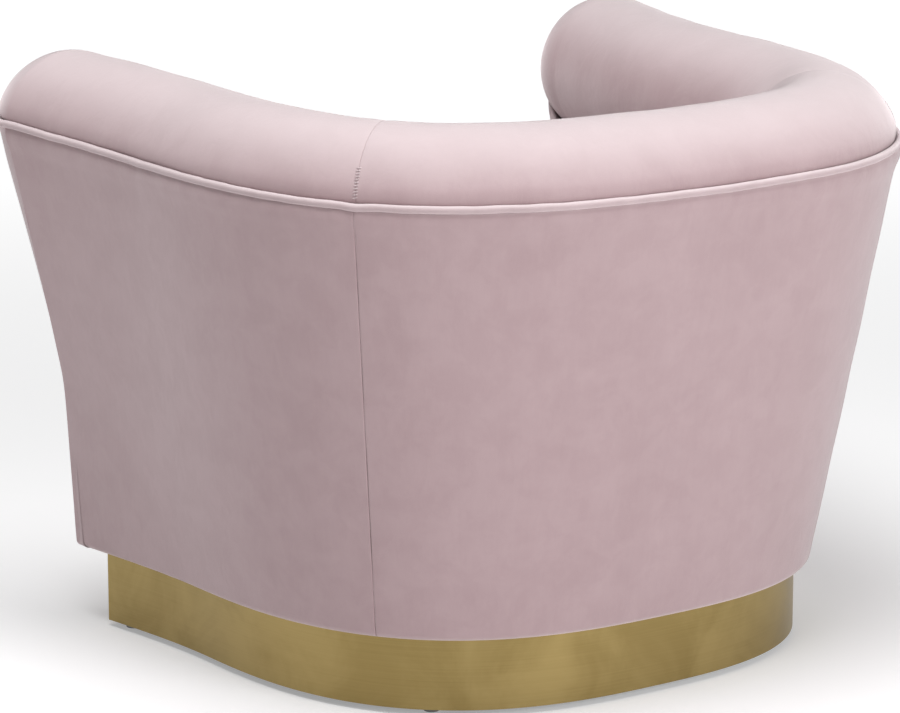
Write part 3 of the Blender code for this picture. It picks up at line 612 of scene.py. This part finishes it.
def make_roll():
    """The stuffed roll in three lengths: a round section carried along the welt line, and on each
    arm a ball end, which is the same half section turned about the upright through its centre."""
    for name, first, last in LENGTHS:
        station, from_first, from_last = columns(first, last, ROLL_PITCH, ROLL_GAP)
        if first == 0:
            station, from_first = np.append(0.0, station[1:]), from_first + FAR_FROM_SEAM
        if last == LAST:
            station, from_last = np.append(station[:-1], LAST), from_last + FAR_FROM_SEAM
        squeeze = np.maximum(tuck(from_first, *ROLL_SEAM), tuck(from_last, *ROLL_SEAM))
        near_seam = np.exp(-np.minimum(from_first, from_last) / ROLL_SEAM_FADE)
        squeeze = squeeze + ROLL_SEAM_DIP * near_seam
        outer_x, outer_z = roll_half(*(np.full_like(station, v) for v in OUTER_EDGE), squeeze)
        inner_x, inner_z = roll_half(*(np.full_like(station, v) for v in INNER_EDGE), squeeze)
        across = np.concatenate([outer_x, -inner_x[:, -2:0:-1]], 1)
        up = np.concatenate([outer_z, inner_z[:, -2:0:-1]], 1)
        normal = WELT_LINE.normal(station)
        centre = WELT_LINE.at(station) - ROLL_RADIUS * normal
        plan = centre[:, None] + normal[:, None] * across[..., None]
        height = (welt_height(station) - ROLL_DROP)[:, None] + up
        ring = np.concatenate([plan, height[..., None]], -1)
        out = np.concatenate([normal[:, None] * across[..., None], up[..., None]], -1)
        out = out / np.linalg.norm(out, axis=-1, keepdims=True)
        ring = ring + out * unevenness(ring, ROLL_WAVES)[..., None]
        count, rows = ring.shape[:2]
        points, faces = ring.reshape(-1, 3), quads(count, rows, closed=True)
        if first == 0 or last == LAST:
            side = 1 if first == 0 else -1
            end = ball_end(side)
            faces += quads(*end.shape[:2], start=len(points))
            points = np.concatenate([points, end.reshape(-1, 3)])
        if first != 0:
            faces.append(list(range(rows)))
        if last != LAST:
            faces.append(list(range((count - 1) * rows, count * rows)))
        made = piece(f"arm_roll_{name}", points, faces, VELVET, stands_for=(f"roll_{name}",))


SINK_START, SINK_LENGTH = 0.45, 0.5


def under_roll(share):
    """How far the sewn edge has come down from the welt's level (0) to the neck (1)."""
    return smooth((share - SINK_START) / SINK_LENGTH)


def ball_end(side):
    """The half section turned about the upright, its sewn edge sinking from the welt to the neck."""
    share = np.linspace(0, 1, 41)
    down = under_roll(share)
    edge, radius, depth = (mix(a, b, down) for a, b in zip(OUTER_EDGE, INNER_EDGE))
    across, up = roll_half(edge, radius, depth)
    turn = (math.pi * share)[:, None]
    x = side * (TUB_FRONT_HALF_WIDTH - ROLL_RADIUS + across * np.cos(turn))
    y = ARM_END - DOME_SHARE * across * np.sin(turn)
    z = welt_height(0.0) - ROLL_DROP + up
    points = np.stack([x, y, z], -1)
    out = np.stack([side * across * np.cos(turn), -across * np.sin(turn), up], -1)
    out = out / np.linalg.norm(out, axis=-1, keepdims=True)
    return points + out * unevenness(points, ROLL_WAVES)[..., None]


FRONT_EASE = 0.07
FRONT_LENGTH = 0.26
NARROWING_START, NARROWING_LENGTH = 0.25, 0.5
UNDER_NECK = 0.002
FACING_ENDS = (0.005, 0.004)
FACING_CROWN, CROWN_RUN, CROWN_RISE = 0.003, 0.05, 0.06


def arm_front(share, height):
    """The left arm's front: a half round at the top, a little fuller at its middle than beside it,
    that flattens down to the straight border."""
    turn = math.pi * share
    outward = np.stack([np.cos(turn), -np.sin(turn)], -1)
    centre = np.array((TUB_FRONT_HALF_WIDTH - ROLL_RADIUS, ARM_END))
    inner_half = centre[0] - NECK_LINE.at(0)[0]
    reach = mix(ROLL_RADIUS, inner_half, smooth((share - NARROWING_START) / NARROWING_LENGTH))
    reach = reach * (1 - FRONT_EASE * np.where(share < 0.5, np.sin(2 * turn) ** 2, 0.0))
    high = centre + outward * np.stack([reach, np.full_like(reach, ROLL_RADIUS)], -1)
    low_x = mix(BODY_LINE.at(0)[0], SEAT_FRONT_HALF_WIDTH, share)
    low = np.stack([low_x, np.full_like(low_x, BODY_FRONT)], -1)
    plan = mix(low, high, flare(np.zeros_like(height), height)[..., None])
    return np.concatenate([plan, height[..., None]], -1)


def facing_top(share):
    """The level of the facing's upper edge: under the welt outside, under the roll's neck inside."""
    return mix(welt_height(0.0) - UNDER_WELT, neck_height(0.0) - UNDER_NECK, under_roll(share))


def make_arm_facings():
    """A padded facing on each arm's front, crowned a little and tucked in all round."""
    at_outside, at_inside = [0, 0.002, 0.005, 0.01, 0.02], [0.98, 0.99, 0.995, 0.998, 1]
    share = np.concatenate([at_outside, np.linspace(0.04, 0.96, 34), at_inside])
    bottom = BORDER_TOP + 0.0004
    full = welt_height(0.0) - bottom
    up = spread(full, 0.010)
    height = bottom + up[None, :] * ((facing_top(share) - bottom) / full)[:, None]
    s = np.broadcast_to(share[:, None], height.shape)
    flat = arm_front(s, height)
    out = -normals(flat)
    run = np.minimum(share, 1 - share)[:, None] * FRONT_LENGTH
    from_ends = np.minimum(up, full - up)[None, :]
    edge = np.maximum(tuck(run, *ARM_CORNER), tuck(from_ends, *FACING_ENDS))
    crown = FACING_CROWN * smooth(run / CROWN_RUN) * smooth(from_ends / CROWN_RISE)
    outer = flat + out * (crown - edge + unevenness(flat, FACING_WAVES))[..., None]
    inner = flat - out * FACING
    for name, side in (("left", 1), ("right", -1)):
        turned = np.array((side, 1, 1))
        made = shell(
            f"facing_{name}",
            outer * turned,
            inner * turned,
            VELVET,
            stands_for=(f"arm_facing_{name}",),
        )


def seat_wall(station, height):
    """The inside face, from the seat line at the deck to the neck line under the roll."""
    share = (height - PAD_BOTTOM) / (neck_height(station) - PAD_BOTTOM)
    plan = mix(SEAT_LINE.at(station), NECK_LINE.at(station), share[..., None])
    return np.concatenate([plan, height[..., None]], -1)


PAD_SEAM, PAD_ARM, PAD_TOP = (0.004, 0.0045), (0.003, 0.001), (0.014, 0.008)
PAD_FULLNESS, FULL_RUN, FULL_RISE = 0.009, 0.09, 0.07
PAD_SETBACK, PAD_LEAD, CALM_RUN = 0.016, 0.08, 0.05
HIDDEN_SETBACK = 0.006
PAD_PITCH, PAD_RISE_PITCH = 0.012, 0.011
PAD_INTO_ROLL, PAD_BEHIND_FACING, OVER_BORDER = 0.003, 0.001, 0.003


def make_inside_pads():
    """The stuffed inside back and arms: full in the middle of each length, drawn in at the seams,
    and folded under the roll at the top."""
    for name, first, last in LENGTHS:
        station, from_first, from_last = columns(first, last, PAD_PITCH)
        full = neck_height(float(MIDDLE)) - PAD_BOTTOM
        up = spread(full, PAD_RISE_PITCH)
        rise = (neck_height(station) + PAD_INTO_ROLL - PAD_BOTTOM) / full
        height = PAD_BOTTOM + up[None, :] * rise[:, None]
        s = np.broadcast_to(station[:, None], height.shape)
        flat = seat_wall(s, height)
        front = mix(BODY_FRONT, ARM_END, flare(np.zeros_like(height), height)) + PAD_BEHIND_FACING - ARM_END
        front = front + PAD_SETBACK * (height < BORDER_TOP + OVER_BORDER)
        to_front = np.full_like(station, FAR_FROM_SEAM)
        if first == 0:
            to_front = from_first
        if last == LAST:
            to_front = from_last
        ahead = np.clip(1 - to_front / PAD_LEAD, 0, 1)[:, None]
        flat[..., 1] += front * ahead
        facing_in = -normals(flat)
        ends = ends_tuck(first, last, from_first, from_last, PAD_SEAM, PAD_ARM)[:, None]
        top = tuck((full - up)[None, :], *PAD_TOP)
        far = np.full_like(station, FAR_FROM_SEAM)
        from_seam = np.minimum(from_first if first else far, from_last if last != LAST else far)
        calm = smooth(to_front / CALM_RUN)[:, None]
        fullness = PAD_FULLNESS * smooth(from_seam / FULL_RUN)[:, None]
        fullness = fullness * smooth((full - up) / FULL_RISE)[None, :] * calm
        sway = unevenness(flat, PAD_WAVES) * calm
        outer = flat + facing_in * (fullness + sway - ends - top)[..., None]
        inner = wall(s, height, np.full_like(height, PAD_INSET))
        inner[..., 1] += (front + HIDDEN_SETBACK) * ahead
        made = shell(f"pad_{name}", outer, inner, VELVET, stands_for=(f"inside_pad_{name}",))


BORDER_TOP_TUCK, BORDER_SIDE_TUCK = (0.006, 0.005), (0.007, 0.006)
BORDER_CROWN, BORDER_THICK = 0.004, 0.010
CROWN_SIDE_SHARE, CROWN_FROM_BOTTOM, CROWN_FROM_TOP = 0.3, 0.06, 0.04
BORDER_CLEARANCE, BORDER_DRAWN_IN = 0.0008, 0.8


def make_front_border():
    """The padded border below the seat cushion, turned under at the bottom. Its ends draw in with
    the side covers' lower edges."""
    turned, turned_z = turned_under(2.5)
    start = BODY_UNDERSIDE + BOTTOM_ROUNDING
    full = BORDER_TOP - BODY_UNDERSIDE - BOTTOM_ROUNDING
    up = spread(full, 0.010)[1:]
    z = np.concatenate([turned_z, start + up])
    inset = np.concatenate([turned, tuck(full - up, *BORDER_TOP_TUCK)])
    half = wall(np.zeros_like(z), z)[:, 0] - BORDER_CLEARANCE
    half = half - np.where(z < start, inset * BORDER_DRAWN_IN, 0.0)
    across = spread(2.0, 0.03) - 1.0
    x = across[:, None] * half[None, :]
    edge = tuck((1 - np.abs(across))[:, None] * half, *BORDER_SIDE_TUCK)
    crown = BORDER_CROWN * smooth((1 - np.abs(across)) / CROWN_SIDE_SHARE)[:, None]
    crown = crown * smooth((z - BODY_UNDERSIDE) / CROWN_FROM_BOTTOM)
    crown = crown * smooth((BORDER_TOP - z) / CROWN_FROM_TOP)
    y = BODY_FRONT + inset[None, :] + edge - crown
    outer = np.stack([x, y, np.broadcast_to(z, x.shape)], -1)
    outer[..., 1] += unevenness(outer, BORDER_WAVES)
    inner = outer + np.array((0.0, BORDER_THICK, 0.0))
    inner[..., 2] = np.maximum(inner[..., 2], BODY_BOTTOM)
    made = shell("border_front", outer, inner, VELVET, stands_for=("front_border",))


WELT_DIP, WELT_DIP_SPREAD, WELT_SET_IN = 0.0014, 0.018, 0.0022
WELT_PITCH, WELT_OVER_FACING = 0.0035, 0.001


def make_welt():
    """The piped welt along the tub, round the front of each arm and down under the roll. It dips a
    little at each seam."""
    run = np.arange(0, fine_run[-1], WELT_PITCH)
    station = np.interp(run, fine_run, fine_stations)
    share = np.linspace(0.012, 0.97, 90)
    wrap = arm_front(share, facing_top(share) + WELT_OVER_FACING)
    line = WELT_LINE.at(station) - WELT_SET_IN * WELT_LINE.normal(station)
    seams = np.interp((SEAM, FAR_SEAM), fine_stations, fine_run)
    dip = WELT_DIP * np.exp(-(((run[:, None] - seams) / WELT_DIP_SPREAD) ** 2)).sum(-1)
    along = np.concatenate([line, (welt_height(station) - dip)[:, None]], -1)
    path = np.concatenate([wrap[::-1], along, wrap * (-1, 1, 1)])
    path[:, 2] += unevenness(path, WELT_WAVES)
    thickness = PIPING * (1 + unevenness(path, PIPING_WAVES))
    # The piping's paler velvet is a painted highlight.
    tube("welt_piping", path, thickness, PIPING_WITH_PAINTED_HIGHLIGHT, stands_for=("welt",))


STITCH_FROM, STITCH_TO, STITCH_EVERY, STITCH_SLANT = 15, 38, 2.1, 0.5
STITCH_HALF_LENGTH, STITCH_THICK = 0.0039, 0.0006
STITCH_SUNK, STITCH_BOW = 0.0004, 0.0011
STITCH_POINTS, STITCH_SIDES = 7, 6


def make_roll_stitches():
    """Short slip stitches that close the roll's two seams just above the welt. Their places and
    slant are angles round the roll, in degrees above the horizontal."""
    for name, station in (("left", SEAM), ("right", FAR_SEAM)):
        normal = WELT_LINE.normal(float(station))
        along = np.array((-normal[1], normal[0]))
        centre = WELT_LINE.at(float(station)) - ROLL_RADIUS * normal
        angle = np.radians(np.arange(STITCH_FROM, STITCH_TO, STITCH_EVERY))[:, None]
        across = np.linspace(-1, 1, STITCH_POINTS)[None, :]
        low = math.asin(OUTER_EDGE[0] / ROLL_RADIUS)
        drawn_in = tuck((angle - low) * ROLL_RADIUS, *OUTER_EDGE[1:])
        reach = ROLL_RADIUS - drawn_in - STITCH_SUNK - STITCH_BOW * np.abs(across) ** 3
        lift = np.radians(STITCH_SLANT) * across
        plan = (
            centre
            + normal * (reach * np.cos(angle + lift))[..., None]
            + along * (across * STITCH_HALF_LENGTH)[..., None]
        )
        level = welt_height(float(station)) - ROLL_DROP
        height = level + reach * np.sin(angle + lift)
        threads = np.concatenate([plan, height[..., None]], -1)
        radial = threads - np.append(centre, level)
        radial = radial / np.linalg.norm(radial, axis=-1, keepdims=True)
        threads = threads + radial * unevenness(threads, ROLL_WAVES)[..., None]
        turn = np.linspace(0, 2 * math.pi, STITCH_SIDES, endpoint=False)
        outward = np.stack([normal[0] * np.cos(angle), normal[1] * np.cos(angle), np.sin(angle)], -1)
        upward = np.stack([-normal[0] * np.sin(angle), -normal[1] * np.sin(angle), np.cos(angle)], -1)
        section = (
            np.cos(turn)[None, None, :, None] * outward[:, :, None]
            + np.sin(turn)[None, None, :, None] * upward[:, :, None]
        )
        thick = STITCH_THICK * np.sqrt(1.02 - across**2)[..., None, None]
        rings = threads[:, :, None] + section * thick
        faces = []
        for start in range(0, rings.size // 3, STITCH_POINTS * STITCH_SIDES):
            end = start + STITCH_POINTS * STITCH_SIDES
            faces += quads(STITCH_POINTS, STITCH_SIDES, start, closed=True)
            faces += [list(range(start, start + STITCH_SIDES)), list(range(end - STITCH_SIDES, end))]
        piece(f"roll_stitches_{name}", rings, faces, THREAD)


# ---- plinth ----
BAND_THICK, BAND_EASE, BAND_BEND, BAND_LIP = 0.0012, 0.0004, 0.004, 0.004
BAND_PITCH = 0.008


def make_plinth_band():
    """The brushed metal band, wrapped right round the plinth with small bends at the two front
    corners. Its upper and lower edges are eased."""
    bend = BAND_BEND
    station = columns(0, LAST, BAND_PITCH, gap=0.0)[0]
    around = PLINTH_LINE.at(station)
    half, front = around[0]
    turn = np.linspace(0, math.pi / 2, 7)
    corner = np.stack([half - bend + bend * np.cos(turn), front + bend - bend * np.sin(turn)], -1)
    straight = np.linspace(half - bend, bend - half, 60)[1:-1]
    face = np.stack([straight, np.full_like(straight, front)], -1)
    back = around[around[:, 1] > front + bend]
    plan = np.concatenate([back, corner * (-1, 1), face[::-1], corner[::-1]])
    plan = np.concatenate([plan, plan[:1]])
    out = outward_of(plan[:-1])
    out = np.concatenate([out, out[:1]])
    low, high = band_low[2], band_high[2]
    middle = np.linspace(low + BAND_LIP, high - BAND_LIP, 9)
    z = np.concatenate([[low, low + BAND_EASE], middle, [high - BAND_EASE, high]])
    inset = np.where((z == low) | (z == high), BAND_EASE, 0.0)
    rows = []
    for depth in (inset, np.full_like(inset, BAND_THICK)):
        flat = plan[:, None] - out[:, None] * depth[None, :, None]
        rows.append(np.concatenate([flat, np.broadcast_to(z[:, None], flat.shape[:2] + (1,))], -1))
    section = np.concatenate([rows[0], rows[1][:, ::-1]], axis=1)
    nodes = ("plinth_band_rear", "plinth_band_front")
    faces = quads(*section.shape[:2], closed=True)
    piece("plinth_band", section, faces, finishes["gold"], stands_for=nodes, sharp=35)


GLIDE_REACH = np.array((0, 0.75, 0.9, 0.97, 1, 1, 0))
GLIDE_LEVEL = np.array((0, 0, 0.05, 0.12, 0.25, 1, 1))


def make_glides():
    """Round nylon glides: a turned profile with an eased foot, given as shares of the glide's
    radius and height."""
    turn = np.linspace(0, 2 * math.pi, 33)
    for place in ("front_left", "front_right", "back_left", "back_right"):
        low, high = (np.array(corner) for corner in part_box(f"glide_{place}"))
        middle, radius, tall = (low + high) / 2, (high[0] - low[0]) / 2, high[2] - low[2]
        x = middle[0] + radius * GLIDE_REACH[None, :] * np.cos(turn)[:, None]
        y = middle[1] + radius * GLIDE_REACH[None, :] * np.sin(turn)[:, None]
        z = np.broadcast_to(low[2] + tall * GLIDE_LEVEL, x.shape)
        points = np.stack([x, y, z], -1)
        faces = quads(*x.shape)
        nodes = (f"glide_{place}",)
        piece(f"foot_{place}", points, faces, finishes["nylon"], stands_for=nodes, sharp=40)


# ---- seat ----
SEAT_PITCH, SEAT_CORNER = 0.007, 0.035
NOSE_SHARE = 0.94
CUSHION_PIPE_UP, PANEL_INSET, PANEL_OVER_PIPE = 0.006, 0.002, 0.001
GATHER_PITCH, GATHER_DRIFT, GATHER_DRIFT_RATE = 0.042, 2.2, 7
EDGE_CROWN, EDGE_CROWN_RUN, FULL_CROWN, FULL_CROWN_RUN = 0.010, 0.018, 0.014, 0.26
PLEAT, PLEAT_FADE, PLEAT_START = 0.0011, 0.022, 0.006
UNDER_CROWN, UNDER_CROWN_RUN, CALM_EDGE = 0.004, 0.02, 0.1
BAND_SWELL, BAND_FULLNESS, BAND_GATHER, GATHER_FADE = 0.0045, 0.7, 0.0009, 0.12
PIPE_WAVE, PIPE_WAVELENGTH = 0.0004, 0.09
# From the cushion's edge (0) to its middle (1), close together at the edge.
PANEL_STEPS = np.array(
    (0, 0.008, 0.02, 0.04, 0.07, 0.11, 0.16, 0.22, 0.29, 0.37, 0.46, 0.56, 0.67, 0.78, 0.89, 1)
)
DECK_GAP, DECK_SETBACK, DECK_EDGE, DECK_UNDERSIDE = 0.0012, 0.014, (0.012, 0.008), 0.0002
DECK_STEPS = np.array((0, 0.01, 0.025, 0.05, 0.1, 0.25, 0.5, 0.75, 1))


def closed_outline(points, pitch, rounding):
    """A closed line through the points, evenly spaced, with its corners rounded off by averaging
    each point with its neighbours within the rounding."""
    ring = np.vstack([points, points[:1]])
    run = np.concatenate([[0], np.cumsum(np.linalg.norm(np.diff(ring, axis=0), axis=1))])
    count = int(run[-1] / pitch)
    even = np.linspace(0, run[-1], count, endpoint=False)
    line = np.stack([np.interp(even, run, ring[:, i]) for i in (0, 1)], -1)
    reach = int(rounding / pitch)
    shifts = np.arange(-reach, reach + 1)
    weights = np.cos(shifts / (reach + 1) * math.pi / 2) ** 2
    return sum(w * np.roll(line, k, axis=0) for k, w in zip(shifts, weights)) / weights.sum()


def seat_outline(clearance, front, bow):
    """Round the inside of the pads, and across the front with a bow."""
    station = np.linspace(0, LAST, 261)
    back = SEAT_LINE.at(station) - clearance * SEAT_LINE.normal(station)
    share = np.linspace(-NOSE_SHARE, NOSE_SHARE, 41)
    half = back[0, 0]
    nose = np.stack([share * half, front + bow * share**4], -1)
    return closed_outline(np.vstack([back, nose]), SEAT_PITCH, SEAT_CORNER)


def make_seat_cushion():
    """A loose box cushion: crowned top and bottom panels, a band that swells between two piped
    edges, and small gathers beside the piping."""
    line = seat_outline(CUSHION_CLEARANCE, BODY_FRONT - CUSHION_NOSE, CUSHION_BOW)
    out = outward_of(line)
    low = CUSHION_BOTTOM + CUSHION_PIPE_UP
    high = CUSHION_BOTTOM + CUSHION_HEIGHT - CUSHION_PIPE_UP
    run = np.arange(len(line)) * SEAT_PITCH
    drift = GATHER_DRIFT * np.sin(run * GATHER_DRIFT_RATE)
    gather = np.sin(run * 2 * math.pi / GATHER_PITCH + drift)
    middle = np.array((0.0, (line[:, 1].min() + line[:, 1].max()) / 2))
    edge = line - out * PANEL_INSET
    plan = edge[:, None] + (middle - edge)[:, None] * PANEL_STEPS[None, :, None]
    reach = np.linalg.norm(plan - edge[:, None], axis=-1)
    crown = EDGE_CROWN * (1 - np.exp(-reach / EDGE_CROWN_RUN))
    crown = crown + FULL_CROWN * smooth(reach / FULL_CROWN_RUN)
    pleat = -PLEAT * gather[:, None] * np.exp(-reach / PLEAT_FADE) * smooth(reach / PLEAT_START)
    top_z = high + PANEL_OVER_PIPE + crown + pleat
    top = np.concatenate([plan, top_z[..., None]], -1)
    top[..., 2] += unevenness(top, CUSHION_WAVES) * smooth(reach / CALM_EDGE)
    sag = UNDER_CROWN * (1 - np.exp(-reach / UNDER_CROWN_RUN))
    under = np.concatenate([plan, (low - PANEL_OVER_PIPE - sag)[..., None]], -1)
    level = np.linspace(0, 1, 15)
    swell = BAND_SWELL * np.sin(level * math.pi) ** BAND_FULLNESS
    by_piping = np.exp(-level / GATHER_FADE) + np.exp((level - 1) / GATHER_FADE)
    swell = swell[None, :] + BAND_GATHER * gather[:, None] * by_piping
    side = edge[:, None] + out[:, None] * swell[..., None]
    height = np.broadcast_to(mix(low, high, level), side.shape[:2])
    side = np.concatenate([side, height[..., None]], -1)
    grid = np.concatenate([under[:, ::-1], side, top], axis=1)
    grid = np.concatenate([grid, grid[:1]])
    made = piece(
        "loose_cushion",
        grid,
        quads(*grid.shape[:2]),
        VELVET,
        body="seat_cushion",
        stands_for=("cushion_core", "cushion_top_panel", "cushion_bottom_panel", "cushion_band"),
    )
    for name, z in (("bottom", low), ("top", high)):
        path = np.concatenate([line, np.full((len(line), 1), z)], -1)
        path[:, 2] += PIPE_WAVE * np.sin(run * 2 * math.pi / PIPE_WAVELENGTH)
        tube(
            f"cushion_piping_{name}",
            path,
            PIPING,
            VELVET,
            closed=True,
            body="seat_cushion",
            stands_for=(f"cushion_welt_{name}",),
        )


def make_deck():
    """The covered deck under the cushion: flat in the middle, eased down at its edge."""
    line = seat_outline(DECK_GAP, BODY_FRONT + DECK_SETBACK, 0.0)
    middle = np.array((0.0, (line[:, 1].min() + line[:, 1].max()) / 2))
    plan = line[:, None] + (middle - line)[:, None] * DECK_STEPS[None, :, None]
    reach = np.linalg.norm(plan - line[:, None], axis=-1)
    top = np.concatenate([plan, (DECK_TOP - tuck(reach, *DECK_EDGE))[..., None]], -1)
    underside = np.full(plan.shape[:2] + (1,), deck_low[2] + DECK_UNDERSIDE)
    under = np.concatenate([plan, underside], -1)
    grid = np.concatenate([under[:, ::-1], top], axis=1)
    grid = np.concatenate([grid, grid[:1]])
    made = piece("deck_cover", grid, quads(*grid.shape[:2]), VELVET, stands_for=("deck_pad",))


# ---- CAD nodes that stay ----
KEPT = {
    "plinth_board": "plywood",
    "plinth_bracket": "bracket_steel",
    "top_rail": "plywood",
    "seat_rail": "beech",
    "seat_spring": "wire",
    "corner_block": "beech",
    "corner_post": "beech",
    "arm_post": "beech",
    "arm_rib": "beech",
    "back_rib": "beech",
    "fibre_panel": "fibreboard",
    "dust_cover": "cambric",
    "deck_cloth": "cambric",
}


def finish_kept_nodes():
    """Gives each CAD node that stays the finish of its kind."""
    for name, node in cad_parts.items():
        for start, finish in KEPT.items():
            if name.startswith(start):
                if not node.material_slots:
                    node.data.materials.append(finishes[finish])
                for place in node.material_slots:
                    place.material = finishes[finish]


# ---- studio ----
# Each light's place, the point that it is aimed at, its width in metres and its power in watts.
KEY_LIGHT = ((-0.8, 4.1, 1.5), (0, 0.1, 0.35), 2.0, 82)
TOP_LIGHT = ((0.65, 0.4, 3.4), (0, 0.1, 0.4), 2.2, 102)
SURROUNDINGS = 0.19
FLOOR_HALF = 30.0
# Painted light: the floor's glow colour near the chair and far from it, and the distances over which it
# changes.
FLOOR_GLOW_NEAR, FLOOR_GLOW_FAR = (0.31, 0.31, 0.31), (0.90, 0.90, 0.90)
FLOOR_GLOW_FADE = (0.8, 5.0)
CAMERA_PLACE = (2.9444, 4.0463, 1.5206)
CAMERA_HEADING, CAMERA_PITCH = math.radians(144.715), math.radians(13.01)
LENS, SENSOR = 160.0, 36.0


def area_light(name, place, aim, size, energy):
    """A round white light, aimed at a point."""
    light = bpy.data.lights.new(name, "AREA")
    light.shape, light.size, light.energy, light.color = "DISK", size, energy, (1.0, 1.0, 1.0)
    made = bpy.data.objects.new(name, light)
    made.location = place
    towards = np.array(aim) - np.array(place)
    climb = math.atan2(towards[2], math.hypot(towards[0], towards[1]))
    made.rotation_euler = (math.pi / 2 + climb, 0, math.atan2(-towards[0], towards[1]))
    bpy.context.scene.collection.objects.link(made)


def make_studio():
    """A pale floor that glows as painted light, weakly near the chair and more strongly away from it,
    soft white surroundings, a broad key light behind the back and a softer light overhead."""
    floor = bpy.data.meshes.new("floor")
    corners = [(x * FLOOR_HALF, y * FLOOR_HALF, 0) for x, y in ((-1, -1), (1, -1), (1, 1), (-1, 1))]
    floor.from_pydata(corners, [], [(0, 1, 2, 3)])
    glowing_paper = Finish("glowing_paper", Roughness=0.9, Specular_IOR_Level=0.1, Emission_Strength=1.0)
    glowing_paper.feed("Base Color", glowing_paper.blend((0.74, 0.74, 0.745), (0.76, 0.76, 0.765), glowing_paper.noise(2.0)))
    # Painted light: the floor glows, more strongly with distance from the chair.
    distance = glowing_paper.node("ShaderNodeVectorMath", {"operation": "LENGTH"}, {0: glowing_paper.place}, "Value")
    away = glowing_paper.spread_out(distance, *FLOOR_GLOW_FADE)
    glowing_paper.feed("Emission Color", glowing_paper.blend(FLOOR_GLOW_NEAR, FLOOR_GLOW_FAR, away))
    floor.materials.append(glowing_paper.material)
    ground = bpy.data.objects.new("floor", floor)
    bpy.context.scene.collection.objects.link(ground)
    world = bpy.data.worlds.new("studio")
    world.use_nodes = True
    background = world.node_tree.nodes["Background"].inputs
    background["Color"].default_value = (1.0, 1.0, 1.0, 1.0)
    background["Strength"].default_value = SURROUNDINGS
    bpy.context.scene.world = world
    area_light("key", *KEY_LIGHT)
    area_light("top", *TOP_LIGHT)
    bpy.context.scene.view_settings.view_transform = "Standard"


def make_camera():
    """Behind the chair, a little above the roll, with a long lens."""
    camera = bpy.data.cameras.new("camera")
    camera.lens, camera.sensor_width = LENS, SENSOR
    camera.clip_end = 100
    made = bpy.data.objects.new("camera", camera)
    made.location = CAMERA_PLACE
    made.rotation_euler = (math.pi / 2 - CAMERA_PITCH, 0, CAMERA_HEADING)
    bpy.context.scene.collection.objects.link(made)
    bpy.context.scene.camera = made


make_camera()
make_outside_covers()
make_roll()
make_arm_facings()
make_inside_pads()
make_front_border()
make_welt()
make_roll_stitches()
make_plinth_band()
make_glides()
make_seat_cushion()
make_deck()
finish_kept_nodes()
make_studio()
